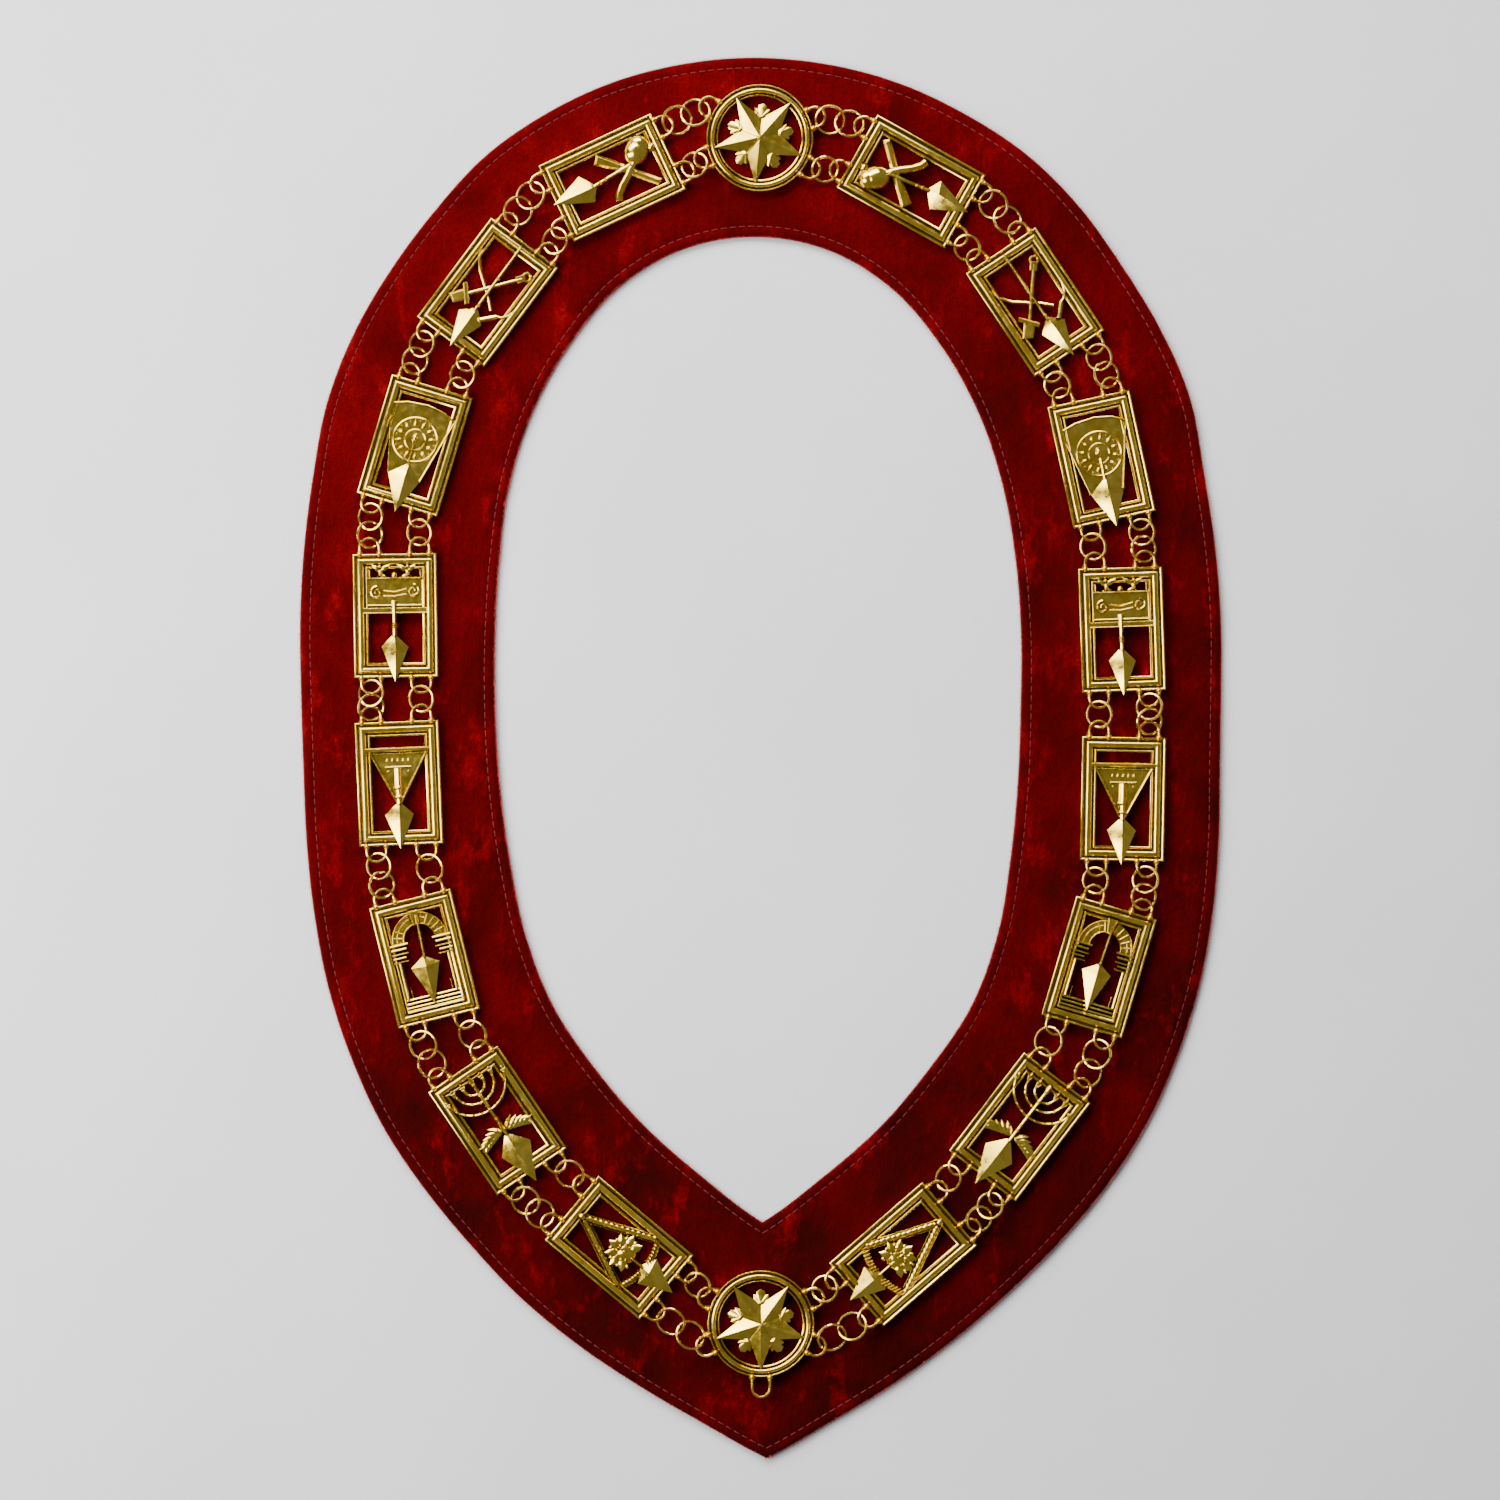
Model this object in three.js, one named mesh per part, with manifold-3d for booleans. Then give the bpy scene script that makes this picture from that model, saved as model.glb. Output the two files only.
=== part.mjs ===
// Chain of office: a gilt chain of eighteen open cast plates on a flat red velvet collar.
// Sixteen oblong plates carry emblems of the builders' craft and two round ones carry a star.
// Soldered wire loops and jump rings join neighbouring plates in two strands, outer and inner.
// Millimetres. The collar lies flat: +Y points to the nape, +X to the right, +Z up, and the
// origin is on the surface it lies on, under the middle of its outline.

import * as THREE from 'three';
import { mergeVertices } from 'three/addons/utils/BufferGeometryUtils.js';
import { ConvexGeometry } from 'three/addons/geometries/ConvexGeometry.js';
import Module from 'manifold-3d';

const wasm = await Module();
wasm.setup();

// ---------------------------------------------------------------- driving dimensions

const COLLAR = { thick: 2.6, round: 0.5, outer_steps: 50, inner_steps: 32 };
const GAP = 0.3; // between the velvet and the back of a plate

const PLATE = { width: 28.6, length: 42.2, rail: 5.2 };
const STAR_PLATE = { radius: 18.2, rail: 4.1, segments: 18 };
// Heights above a plate's back: the lips along a rail's edges, and the bead between them.
const LIP = 2.75;
const BEAD = 3.2;
// Heights of an emblem's back, its flat ground, its raised lines and its highest points.
const RELIEF = { back: 0.7, slab: 2, raised: 2.6, crest: 4 };
// Half the width that an emblem spans: a plate's opening, and a little into its rails.
const WALL = PLATE.width / 2 - PLATE.rail + 0.4;

const LOOP = { wire: 0.9, half_width: 3.3, reach: 5.2, spread: 8.5, height: 2.45, sunk: 0.8, steps: 5 };
const RING = { wire: 0.84, radius: 4.4, wide_radius: 4.85, segments: 9, free_sides: 4, soldered_sides: 3 };
// Heights between the centrelines of two wires where they cross: clear of each other, or soldered.
const CLEAR = 1.13;
const SOLDERED = 0.5;
// A ring is a wide one where each loop it joins stands further off than this.
const WIDE_SLACK = 5;
// How far the flats of a ring and a bow bring their crossing in from that of true circles.
const CHORD = 0.3;

const VELVET = new THREE.MeshStandardMaterial({ color: 0x7a0206, roughness: 0.95, metalness: 0 });
const GILT = new THREE.MeshStandardMaterial({ color: 0xc9a02e, roughness: 0.25, metalness: 1 });

// The collar's edges, nape to point: the left and right edge at each distance up the collar.
const OUTER_EDGE = [
  { y: 230.5, left: -47.8, right: 43.7 },
  { y: 210, left: -86.9, right: 83.8 },
  { y: 189.7, left: -107.6, right: 106.3 },
  { y: 159, left: -130.1, right: 128 },
  { y: 128.5, left: -145, right: 144 },
  { y: 98, left: -151.8, right: 150.5 },
  { y: 57, left: -156.2, right: 155.9 },
  { y: 6, left: -155.7, right: 156.2 },
  { y: -45, left: -152.8, right: 154.5 },
  { y: -86, left: -144.7, right: 146.7 },
  { y: -126.5, left: -127.7, right: 130 },
  { y: -157, left: -105.8, right: 108.2 },
  { y: -188, left: -76.6, right: 77.2 },
  { y: -213, left: -42, right: 44.6 },
];
const OUTER_TOP = { x: -2, y: 238 };
const OUTER_POINT = { x: 2, y: -238 };

const INNER_EDGE = [
  { y: 169.3, left: -34.9, right: 30.8 },
  { y: 154, left: -54.2, right: 50 },
  { y: 128.5, left: -72.3, right: 68.5 },
  { y: 98, left: -84.2, right: 80.8 },
  { y: 57, left: -89.6, right: 87.7 },
  { y: 6, left: -89.7, right: 88 },
  { y: -35, left: -85.2, right: 84.8 },
  { y: -75.5, left: -74.8, right: 75.8 },
  { y: -106, left: -55.9, right: 57 },
  { y: -131.5, left: -32.8, right: 34.3 },
];
const INNER_TOP = { x: -2, y: 177 };
const INNER_POINT = { x: 0.6, y: -157.8 };

// The plates of each side from the nape down: the centre, and the turn that aims their heads up.
const PLATES = [
  { name: 'plate_left_1', side: 'left', design: mallet, x: -50.3, y: 196.9, turn: -64.9 },
  { name: 'plate_left_2', side: 'left', design: sword, x: -92.6, y: 158, turn: -36.9 },
  { name: 'plate_left_3', side: 'left', design: keystone, x: -117.4, y: 106, turn: -16.7 },
  { name: 'plate_left_4', side: 'left', design: chest, x: -123.9, y: 48.3, turn: 0.8 },
  { name: 'plate_left_5', side: 'left', design: delta, x: -122.7, y: -8.6, turn: 2.3 },
  { name: 'plate_left_6', side: 'left', design: arch, x: -114, y: -68.1, turn: 13.8 },
  { name: 'plate_left_7', side: 'left', design: lampstand, x: -89.3, y: -122.9, turn: 34 },
  { name: 'plate_left_8', side: 'left', design: crown, x: -48, y: -166.1, turn: 50 },
  { name: 'plate_right_1', side: 'right', design: mallet, x: 51, y: 195.6, turn: 60.7 },
  { name: 'plate_right_2', side: 'right', design: sword, x: 93.1, y: 154.7, turn: 33.7 },
  { name: 'plate_right_3', side: 'right', design: keystone, x: 115.6, y: 101.4, turn: 12.2 },
  { name: 'plate_right_4', side: 'right', design: chest, x: 122.6, y: 43.6, turn: 1.9 },
  { name: 'plate_right_5', side: 'right', design: delta, x: 122.9, y: -13.9, turn: -1.1 },
  { name: 'plate_right_6', side: 'right', design: arch, x: 114.8, y: -70.9, turn: -16.5 },
  { name: 'plate_right_7', side: 'right', design: lampstand, x: 87.9, y: -125.1, turn: -37.4 },
  { name: 'plate_right_8', side: 'right', design: crown, x: 48.3, y: -168.3, turn: -49.1 },
];
// The star plates: the angles from the horizontal at which their outer and inner loops stand.
const STARS = {
  top: { name: 'star_plate_top', x: -0.3, y: 210.4, turn: -5.5, outer: 26, inner: -26 },
  bottom: { name: 'star_plate_bottom', x: 0.1, y: -191.9, turn: 0, outer: -22, inner: 26 },
};

// ---------------------------------------------------------------- solids

/** The solid that a closed geometry bounds. */
function solid(geometry) {
  const bare = geometry.clone();
  bare.deleteAttribute('normal');
  bare.deleteAttribute('uv');
  const merged = mergeVertices(bare, 1e-4);
  return new wasm.Manifold(new wasm.Mesh({
    numProp: 3,
    vertProperties: new Float32Array(merged.attributes.position.array),
    triVerts: new Uint32Array(merged.index.array),
  }));
}

/** The geometry of all these closed geometries joined into one solid. */
function joined(geometries) {
  const mesh = geometries.map(solid).reduce((whole, next) => whole.add(next)).getMesh();
  const geometry = new THREE.BufferGeometry();
  geometry.setAttribute('position', new THREE.BufferAttribute(mesh.vertProperties, mesh.numProp));
  geometry.setIndex(new THREE.BufferAttribute(mesh.triVerts, 1));
  geometry.computeVertexNormals();
  return geometry;
}

/** A flat slab between two heights, with this outline and holes of [x, y] corners. */
function slab(outline, bottom, top, holes = []) {
  const shape = new THREE.Shape(outline.map(([x, y]) => new THREE.Vector2(x, y)));
  for (const hole of holes) {
    shape.holes.push(new THREE.Path(hole.map(([x, y]) => new THREE.Vector2(x, y))));
  }
  const geometry = new THREE.ExtrudeGeometry(shape, { depth: top - bottom, bevelEnabled: false });
  return geometry.translate(0, 0, bottom);
}

/** A straight bar of rectangular section from one [x, y] to another. */
function bar(from, to, width, bottom, top) {
  const along = new THREE.Vector2(to[0] - from[0], to[1] - from[1]);
  const geometry = new THREE.BoxGeometry(along.length(), width, top - bottom);
  geometry.rotateZ(along.angle());
  return geometry.translate((from[0] + to[0]) / 2, (from[1] + to[1]) / 2, (bottom + top) / 2);
}

/** The smallest convex solid round these [x, y, z] corners. */
function hull(corners) {
  return new ConvexGeometry(corners.map(([x, y, z]) => new THREE.Vector3(x, y, z)));
}

/** Corners along an arc, from one angle to another in degrees. */
function arc(centre, radius, from, to, steps) {
  const corners = [];
  for (let step = 0; step <= steps; step += 1) {
    const angle = THREE.MathUtils.degToRad(from + (to - from) * step / steps);
    corners.push([centre[0] + radius * Math.cos(angle), centre[1] + radius * Math.sin(angle)]);
  }
  return corners;
}

/** A bar bent along an arc. */
function bow(centre, radius, width, from, to, steps, top) {
  const outside = arc(centre, radius + width / 2, from, to, steps);
  const inside = arc(centre, radius - width / 2, to, from, steps);
  return slab([...outside, ...inside], RELIEF.back, top);
}

/** A straight rod with a ridge along its top, from one [x, y] to another. */
function rod(from, to, width, top) {
  const along = new THREE.Vector2(to[0] - from[0], to[1] - from[1]);
  const side = along.clone().rotateAround(new THREE.Vector2(), Math.PI / 2).setLength(width / 2);
  return hull([from, to].flatMap(([x, y]) => [
    [x - side.x, y - side.y, RELIEF.back],
    [x + side.x, y + side.y, RELIEF.back],
    [x, y, top],
  ]));
}

/** A low five-sided mound. */
function boss(x, y, radius, top) {
  const foot = arc([x, y], radius, 18, 306, 4).map(([px, py]) => [px, py, RELIEF.back]);
  return hull([...foot, [x, y, top]]);
}

// ---------------------------------------------------------------- rails, loops and rings

/** A rail's section: [distance in from the outer edge, height], back to back with itself. */
function railSection(rail) {
  return [
    [0, 0],
    [0, LIP],
    [rail * 0.35, BEAD],
    [rail * 0.65, BEAD],
    [rail, LIP],
    [rail, 0],
    [0, 0],
  ];
}

/** The oblong frame of a plate: the rail's section turned round a square, then lengthened. */
function oblongFrame() {
  const half = PLATE.width / 2;
  const corner_ratio = Math.SQRT2;
  const profile = railSection(PLATE.rail).map(
    ([inward, height]) => new THREE.Vector2((half - inward) * corner_ratio, height),
  );
  const geometry = new THREE.LatheGeometry(profile, 4);
  geometry.rotateX(Math.PI / 2);
  geometry.rotateZ(Math.PI / 4);
  const position = geometry.attributes.position;
  const longer = (PLATE.length - PLATE.width) / 2;
  for (let i = 0; i < position.count; i += 1) {
    position.setY(i, position.getY(i) + Math.sign(position.getY(i)) * longer);
  }
  return geometry;
}

/** The round frame of a star plate. */
function roundFrame() {
  const profile = railSection(STAR_PLATE.rail).map(
    ([inward, height]) => new THREE.Vector2(STAR_PLATE.radius - inward, height),
  );
  const geometry = new THREE.LatheGeometry(profile, STAR_PLATE.segments);
  return geometry.rotateX(Math.PI / 2);
}

/** The three-sided section of a soldered wire. */
function wireSection() {
  return new THREE.Shape(arc([0, 0], LOOP.wire / 2, 0, 240, 2).map(([x, y]) => new THREE.Vector2(x, y)));
}

/** A loop of wire whose feet stand at the origin, and which reaches out along +Y. */
function wireLoop(half_width, reach) {
  const straight = reach - half_width;
  const path = new THREE.CatmullRomCurve3([
    new THREE.Vector3(-half_width, -LOOP.sunk, 0),
    new THREE.Vector3(-half_width, straight, 0),
    ...[135, 90, 45].map((angle) => new THREE.Vector3(
      half_width * Math.cos(THREE.MathUtils.degToRad(angle)),
      straight + half_width * Math.sin(THREE.MathUtils.degToRad(angle)),
      0,
    )),
    new THREE.Vector3(half_width, straight, 0),
    new THREE.Vector3(half_width, -LOOP.sunk, 0),
  ]);
  return new THREE.ExtrudeGeometry(wireSection(), { steps: LOOP.steps, extrudePath: path });
}

/** Where a plate's loops stand: the foot of each in the plate's frame, and the way it points. */
function oblongLoops(side) {
  const outer = side === 'left' ? -LOOP.spread : LOOP.spread;
  const end = PLATE.length / 2;
  return {
    head_outer: { x: outer, y: end, turn: 0 },
    head_inner: { x: -outer, y: end, turn: 0 },
    foot_outer: { x: outer, y: -end, turn: 180 },
    foot_inner: { x: -outer, y: -end, turn: 180 },
  };
}

/** Where a round plate's loops stand: two at each side, over and under its middle. */
function starLoops(star) {
  const loops = {};
  const places = {
    right_outer: star.outer,
    right_inner: star.inner,
    left_outer: 180 - star.outer,
    left_inner: 180 - star.inner,
  };
  for (const [name, angle] of Object.entries(places)) {
    const radians = THREE.MathUtils.degToRad(angle);
    loops[name] = {
      x: STAR_PLATE.radius * Math.cos(radians),
      y: STAR_PLATE.radius * Math.sin(radians),
      turn: angle - 90,
    };
  }
  return loops;
}

/** A loop at its place on a plate's edge, turned to point out. */
function placedLoop({ x, y, turn }, half_width = LOOP.half_width, reach = LOOP.reach) {
  const geometry = wireLoop(half_width, reach);
  geometry.rotateZ(THREE.MathUtils.degToRad(turn));
  return geometry.translate(x, y, LOOP.height);
}

/** The middle of a loop's bow, in the collar's frame. */
function bowCentre(plate, loop) {
  const straight = LOOP.reach - LOOP.half_width;
  const centre = new THREE.Vector3(0, straight, 0);
  centre.applyAxisAngle(Z, THREE.MathUtils.degToRad(loop.turn));
  centre.add(new THREE.Vector3(loop.x, loop.y, LOOP.height));
  return centre.applyMatrix4(plate.mesh.matrixWorld);
}

const Z = new THREE.Vector3(0, 0, 1);

/** Where two circles cross whose centres stand apart: along that line from the first, and beside it. */
function crossing(first_radius, second_radius, apart) {
  const squares = apart ** 2 + first_radius ** 2 - second_radius ** 2;
  const along = Math.min(squares / (2 * apart), first_radius);
  return { along, beside: Math.sqrt(first_radius ** 2 - along ** 2) };
}

/** A ring's place: its centre, and a plane that climbs by these slopes along and beside a strand. */
function ringPlace(strand, offset, lift, slope_along, slope_beside) {
  const centre = strand.middle.clone().addScaledVector(strand.along, offset).addScaledVector(Z, lift);
  const normal = Z.clone()
    .addScaledVector(strand.along, -slope_along)
    .addScaledVector(strand.beside, -slope_beside)
    .normalize();
  const turn = new THREE.Quaternion().setFromUnitVectors(Z, normal);
  return new THREE.Matrix4().compose(centre, turn, new THREE.Vector3(1, 1, 1));
}

/** The line between the bows of two loops, and the clear distance between them. */
function strandBetween(upper_bow, lower_bow) {
  const along = lower_bow.clone().sub(upper_bow);
  const slack = along.length() - 2 * LOOP.half_width;
  along.normalize();
  const beside = new THREE.Vector3().crossVectors(Z, along);
  const middle = upper_bow.clone().add(lower_bow).multiplyScalar(0.5);
  return { along, beside, middle, slack };
}

/** One ring through both loops: soldered under the upper one, and clear of the lower. */
function singleRing(strand, radius) {
  const meet = crossing(radius, LOOP.half_width, LOOP.half_width + strand.slack / 2);
  const slope_beside = CLEAR / (meet.beside - CHORD);
  const lift = (CLEAR - SOLDERED) / 2;
  return ringPlace(strand, 0, lift, -lift / meet.along, slope_beside);
}

/** Two rings, each through a loop and the other ring, and clear of each other. */
function ringPair(strand, radius) {
  const spread = Math.min(1.6 + 0.17 * strand.slack, strand.slack / 2 + 0.15);
  const near = crossing(radius, LOOP.half_width, LOOP.half_width + strand.slack / 2 - spread);
  const slope_beside = CLEAR / (near.beside - CHORD);
  const far_apart = LOOP.half_width + strand.slack / 2 + spread;
  let slope_along = 0;
  if (far_apart < radius + LOOP.half_width + CLEAR) {
    const far = crossing(radius, LOOP.half_width, far_apart);
    slope_along = (CLEAR + slope_beside * far.beside) / (near.along + far.along);
  }
  const lift = slope_along * near.along;
  return [
    ringPlace(strand, -spread, lift, slope_along, slope_beside),
    ringPlace(strand, spread, lift, -slope_along, -slope_beside),
  ];
}

function ringGeometry(radius, sides) {
  return new THREE.TorusGeometry(radius, RING.wire / 2, sides, RING.segments);
}

// ---------------------------------------------------------------- emblems, in a plate's frame

/** A trowel: a ridged kite of a blade, and a handle up from its shoulder. */
function trowel({ handle, shoulder, wide, half, tip, lean = 0 }) {
  const blade = hull([
    [0, shoulder, RELIEF.back],
    [-half, wide, RELIEF.slab],
    [half, wide, RELIEF.slab],
    [0, wide, RELIEF.crest],
    [lean, tip, LIP],
  ]);
  return [blade, rod([0, handle], [0, wide + 1], 2.2, RELIEF.raised)];
}

function mallet() {
  return [
    rod([-9.3, -2.8], [9.1, 14.2], 2.2, RELIEF.slab),
    rod([9.1, -4], [-4.7, 16.6], 2.2, RELIEF.slab),
    boss(-5.1, 11.4, 3.4, RELIEF.crest),
    ...trowel({ handle: 6.5, shoulder: -5.8, wide: -10, half: 5.2, tip: -21.6 }),
  ];
}

function sword() {
  return [
    rod([-9.4, -7.4], [9.3, 13], 2, RELIEF.slab),
    rod([-9.2, -4.6], [-5.2, -9.2], 3.2, RELIEF.raised),
    rod([-9.2, 9.6], [7.4, -5.4], 2, RELIEF.slab),
    rod([4.4, -8.2], [9.2, -1.8], 1.8, RELIEF.raised),
    ...trowel({ handle: 16.6, shoulder: -5.1, wide: -10.9, half: 4.5, tip: -21.4, lean: 1.2 }),
  ];
}

function keystone() {
  const outline = [[-5.8, -11.2], [5.8, -11.2], [WALL, 11.6], [0, 13.4], [-WALL, 11.6]];
  return [
    slab(outline, RELIEF.back, RELIEF.slab),
    slab(arc([0, 1.7], 7.4, 0, 300, 5), RELIEF.back, RELIEF.raised),
    boss(0, 1.7, 2.7, RELIEF.crest),
    ...trowel({ handle: -6.2, shoulder: -6.8, wide: -10.9, half: 5.1, tip: -22.8 }),
  ];
}

/** A small winged figure that kneels on the chest. */
function figure(x) {
  return hull([
    [x - 2.6, 16.6, RELIEF.back],
    [x + 2.6, 16.6, RELIEF.back],
    [x, 12, RELIEF.back],
    [x, 16.6, RELIEF.raised],
    [x, 12.4, RELIEF.crest],
  ]);
}

function chest() {
  return [
    bar([-WALL, 6.8], [WALL, 6.8], 11, RELIEF.back, RELIEF.slab),
    rod([-WALL, 12.3], [WALL, 12.3], 1.6, RELIEF.raised),
    rod([-WALL, 1.7], [WALL, 1.7], 1.8, RELIEF.raised),
    boss(-6.4, 7.5, 2, RELIEF.raised),
    boss(5.6, 7.5, 2, RELIEF.raised),
    figure(-5.1),
    figure(4.6),
    ...trowel({ handle: 5.4, shoulder: -6.8, wide: -10.5, half: 4.2, tip: -22.6 }),
  ];
}

function delta() {
  return [
    slab([[-WALL, 7.3], [0, -5.8], [WALL, 7.3], [WALL, 11.7], [-WALL, 11.7]], RELIEF.back, RELIEF.slab),
    rod([-WALL, 10.9], [WALL, 10.9], 1.6, RELIEF.raised),
    rod([-4.8, 5.6], [4.8, 5.6], 1.4, RELIEF.raised),
    ...trowel({ handle: 5.4, shoulder: -6.1, wide: -10.2, half: 4.8, tip: -22 }),
  ];
}

function arch() {
  const parts = [bow([0, 6.1], 7.3, 4, 0, 180, 5, RELIEF.slab)];
  for (const side of [-1, 1]) {
    parts.push(bar([side * 7.4, 1.4], [side * 7.4, 5.4], 3.7, RELIEF.back, RELIEF.raised));
  }
  for (const [row, height] of [RELIEF.slab - 0.8, RELIEF.slab - 0.4, RELIEF.slab].entries()) {
    parts.push(bar([-WALL, -14.1 - row], [WALL, -14.1 - row], 1.2, RELIEF.back, height));
  }
  return [...parts, ...trowel({ handle: 13, shoulder: 1.4, wide: -2.4, half: 4.8, tip: -14.5 })];
}

function lampstand() {
  const parts = [bar([-WALL, 15.7], [WALL, 15.7], 1.4, RELIEF.back, RELIEF.slab)];
  for (const [radius, steps] of [[3, 2], [5.8, 3], [8.6, 4]]) {
    parts.push(bow([0, 15], radius, 1.3, 180, 360, steps, RELIEF.slab));
  }
  for (const side of [-1, 1]) {
    parts.push(hull([
      [0, -4.4, RELIEF.back],
      [side * WALL, -3.2, RELIEF.back],
      [side * 7.6, -7.8, RELIEF.back],
      [side * 5.4, -5, RELIEF.raised],
      [0, -6, RELIEF.raised],
    ]));
  }
  return [...parts, ...trowel({ handle: 15.6, shoulder: -5.4, wide: -11.2, half: 5.4, tip: -23.2 })];
}

function crown() {
  const outline = [[-WALL, -8.6], [WALL, -8.6], [WALL, -4.6], [0, 14.6], [-WALL, -4.6]];
  const inset = [[-7, -6], [7, -6], [0, 10.4]];
  return [
    slab(outline, RELIEF.back, RELIEF.slab, [inset]),
    boss(0, -2.4, 4.8, RELIEF.crest),
    ...trowel({ handle: -4, shoulder: -8.4, wide: -13.6, half: 4.8, tip: -22.8 }),
  ];
}

/** A ray of the star: a ridge from the middle out to its tip, between two valleys. */
function ray({ angle, tip, valley, spread, crest, end }) {
  const at = (radius, degrees, z) => {
    const radians = THREE.MathUtils.degToRad(angle + degrees);
    return [radius * Math.cos(radians), radius * Math.sin(radians), z];
  };
  return hull([
    [0, 0, RELIEF.back],
    [0, 0, crest],
    at(valley, spread, RELIEF.back),
    at(valley, -spread, RELIEF.back),
    at(tip, 0, end),
  ]);
}

function star() {
  const rays = [];
  for (let point = 0; point < 5; point += 1) {
    const turn = 72 * point;
    rays.push(ray({ angle: 270 + turn, tip: 15.4, valley: 6.6, spread: 36, crest: RELIEF.crest, end: LIP }));
    rays.push(ray({ angle: 90 + turn, tip: 11.2, valley: 5.4, spread: 22, crest: BEAD, end: RELIEF.slab }));
  }
  return rays;
}

// ---------------------------------------------------------------- the collar

/** A smooth edge from its point up the right side, over the nape and down the left side. */
function edgeCurve(rows, top, point, steps) {
  const up_right = rows.toReversed().map(({ y, right }) => new THREE.Vector3(right, y, 0));
  const down_left = rows.map(({ y, left }) => new THREE.Vector3(left, y, 0));
  const tip = new THREE.Vector3(point.x, point.y, 0);
  const crest = new THREE.Vector3(top.x, top.y, 0);
  const curve = new THREE.CatmullRomCurve3([tip, ...up_right, crest, ...down_left, tip.clone()]);
  return curve.getSpacedPoints(steps).slice(0, -1).map(({ x, y }) => new THREE.Vector2(x, y));
}

function collar() {
  const { thick, round, outer_steps, inner_steps } = COLLAR;
  const shape = new THREE.Shape(edgeCurve(OUTER_EDGE, OUTER_TOP, OUTER_POINT, outer_steps));
  shape.holes.push(new THREE.Path(edgeCurve(INNER_EDGE, INNER_TOP, INNER_POINT, inner_steps)));
  const geometry = new THREE.ExtrudeGeometry(shape, {
    depth: thick - 2 * round,
    bevelThickness: round,
    bevelSize: round,
    bevelOffset: -round,
    bevelSegments: 1,
  });
  geometry.translate(0, 0, round);
  return named('velvet_collar', joined([geometry]), VELVET);
}

// ---------------------------------------------------------------- assembly

function named(name, geometry, material) {
  const mesh = new THREE.Mesh(geometry, material);
  mesh.name = name;
  return mesh;
}

/** A plate of the chain: its pieces are kept until the rings soldered to it are known. */
function plate({ name, x, y, turn }, pieces, loops) {
  const mesh = named(name, undefined, GILT);
  mesh.position.set(x, y, COLLAR.thick + GAP);
  mesh.rotation.z = THREE.MathUtils.degToRad(turn);
  mesh.updateMatrixWorld();
  return { mesh, loops, pieces: [...pieces, ...Object.values(loops).map((loop) => placedLoop(loop))] };
}

function oblongPlate(row) {
  return plate(row, [oblongFrame(), ...row.design()], oblongLoops(row.side));
}

function starPlate(row, extra = []) {
  return plate(row, [roundFrame(), ...star(), ...extra], starLoops(row));
}

/** The bail under the lower star, which a jewel hangs from. */
function bail() {
  return placedLoop({ x: 0, y: -STAR_PLATE.radius, turn: 180 }, 3, 6.6);
}

/** The loops that join plate number `gap` of a side to the next one, in one strand. */
function strandOf(chain, side, gap, strand) {
  const [upper, lower] = [chain[gap], chain[gap + 1]];
  const upper_key = gap === 0 ? `${side}_${strand}` : `foot_${strand}`;
  const lower_key = gap === chain.length - 2 ? `${side}_${strand}` : `head_${strand}`;
  return strandBetween(bowCentre(upper, upper.loops[upper_key]), bowCentre(lower, lower.loops[lower_key]));
}

function joinSide(side, chain, group) {
  for (let gap = 0; gap < chain.length - 1; gap += 1) {
    const outer = strandOf(chain, side, gap, 'outer');
    const pair_radius = outer.slack > 2 * WIDE_SLACK ? RING.wide_radius : RING.radius;
    for (const [number, place] of ringPair(outer, pair_radius).entries()) {
      const geometry = ringGeometry(pair_radius, RING.free_sides);
      const ring = named(`ring_${side}_${gap + 1}_${'ab'[number]}`, geometry, GILT);
      ring.applyMatrix4(place);
      group.add(ring);
    }
    const upper = chain[gap];
    const inner = strandOf(chain, side, gap, 'inner');
    const radius = inner.slack > WIDE_SLACK ? RING.wide_radius : RING.radius;
    const to_plate = upper.mesh.matrixWorld.clone().invert().multiply(singleRing(inner, radius));
    upper.pieces.push(ringGeometry(radius, RING.soldered_sides).applyMatrix4(to_plate));
  }
}

function chainOfOffice() {
  const group = new THREE.Group();
  group.add(collar());
  const top = starPlate(STARS.top);
  const bottom = starPlate(STARS.bottom, [bail()]);
  const oblong = PLATES.map((row) => ({ side: row.side, ...oblongPlate(row) }));
  for (const side of ['left', 'right']) {
    joinSide(side, [top, ...oblong.filter((one) => one.side === side), bottom], group);
  }
  for (const { mesh, pieces } of [top, ...oblong, bottom]) {
    mesh.geometry = joined(pieces);
    group.add(mesh);
  }
  return group;
}

export default chainOfOffice();
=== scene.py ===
"""A chain of office: gilt plates and jump rings on a velvet collar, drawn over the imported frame."""

import math
import random

import bmesh
import bpy
import numpy as np
from mathutils import Matrix, Quaternion, Vector


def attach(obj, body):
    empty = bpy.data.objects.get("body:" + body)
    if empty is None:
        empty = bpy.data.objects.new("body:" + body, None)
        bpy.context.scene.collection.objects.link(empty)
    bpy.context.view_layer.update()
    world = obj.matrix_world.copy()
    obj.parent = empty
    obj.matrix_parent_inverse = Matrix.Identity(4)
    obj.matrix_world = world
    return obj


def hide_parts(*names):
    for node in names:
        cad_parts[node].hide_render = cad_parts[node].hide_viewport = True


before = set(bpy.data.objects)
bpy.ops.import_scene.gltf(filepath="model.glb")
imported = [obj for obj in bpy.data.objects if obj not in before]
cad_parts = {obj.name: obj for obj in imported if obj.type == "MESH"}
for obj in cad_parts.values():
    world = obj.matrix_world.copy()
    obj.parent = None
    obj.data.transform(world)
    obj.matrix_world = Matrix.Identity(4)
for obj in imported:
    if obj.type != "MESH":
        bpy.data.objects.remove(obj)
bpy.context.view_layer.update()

# Lengths are in millimetres up to the point where a mesh is made.
MM = 0.001

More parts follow.
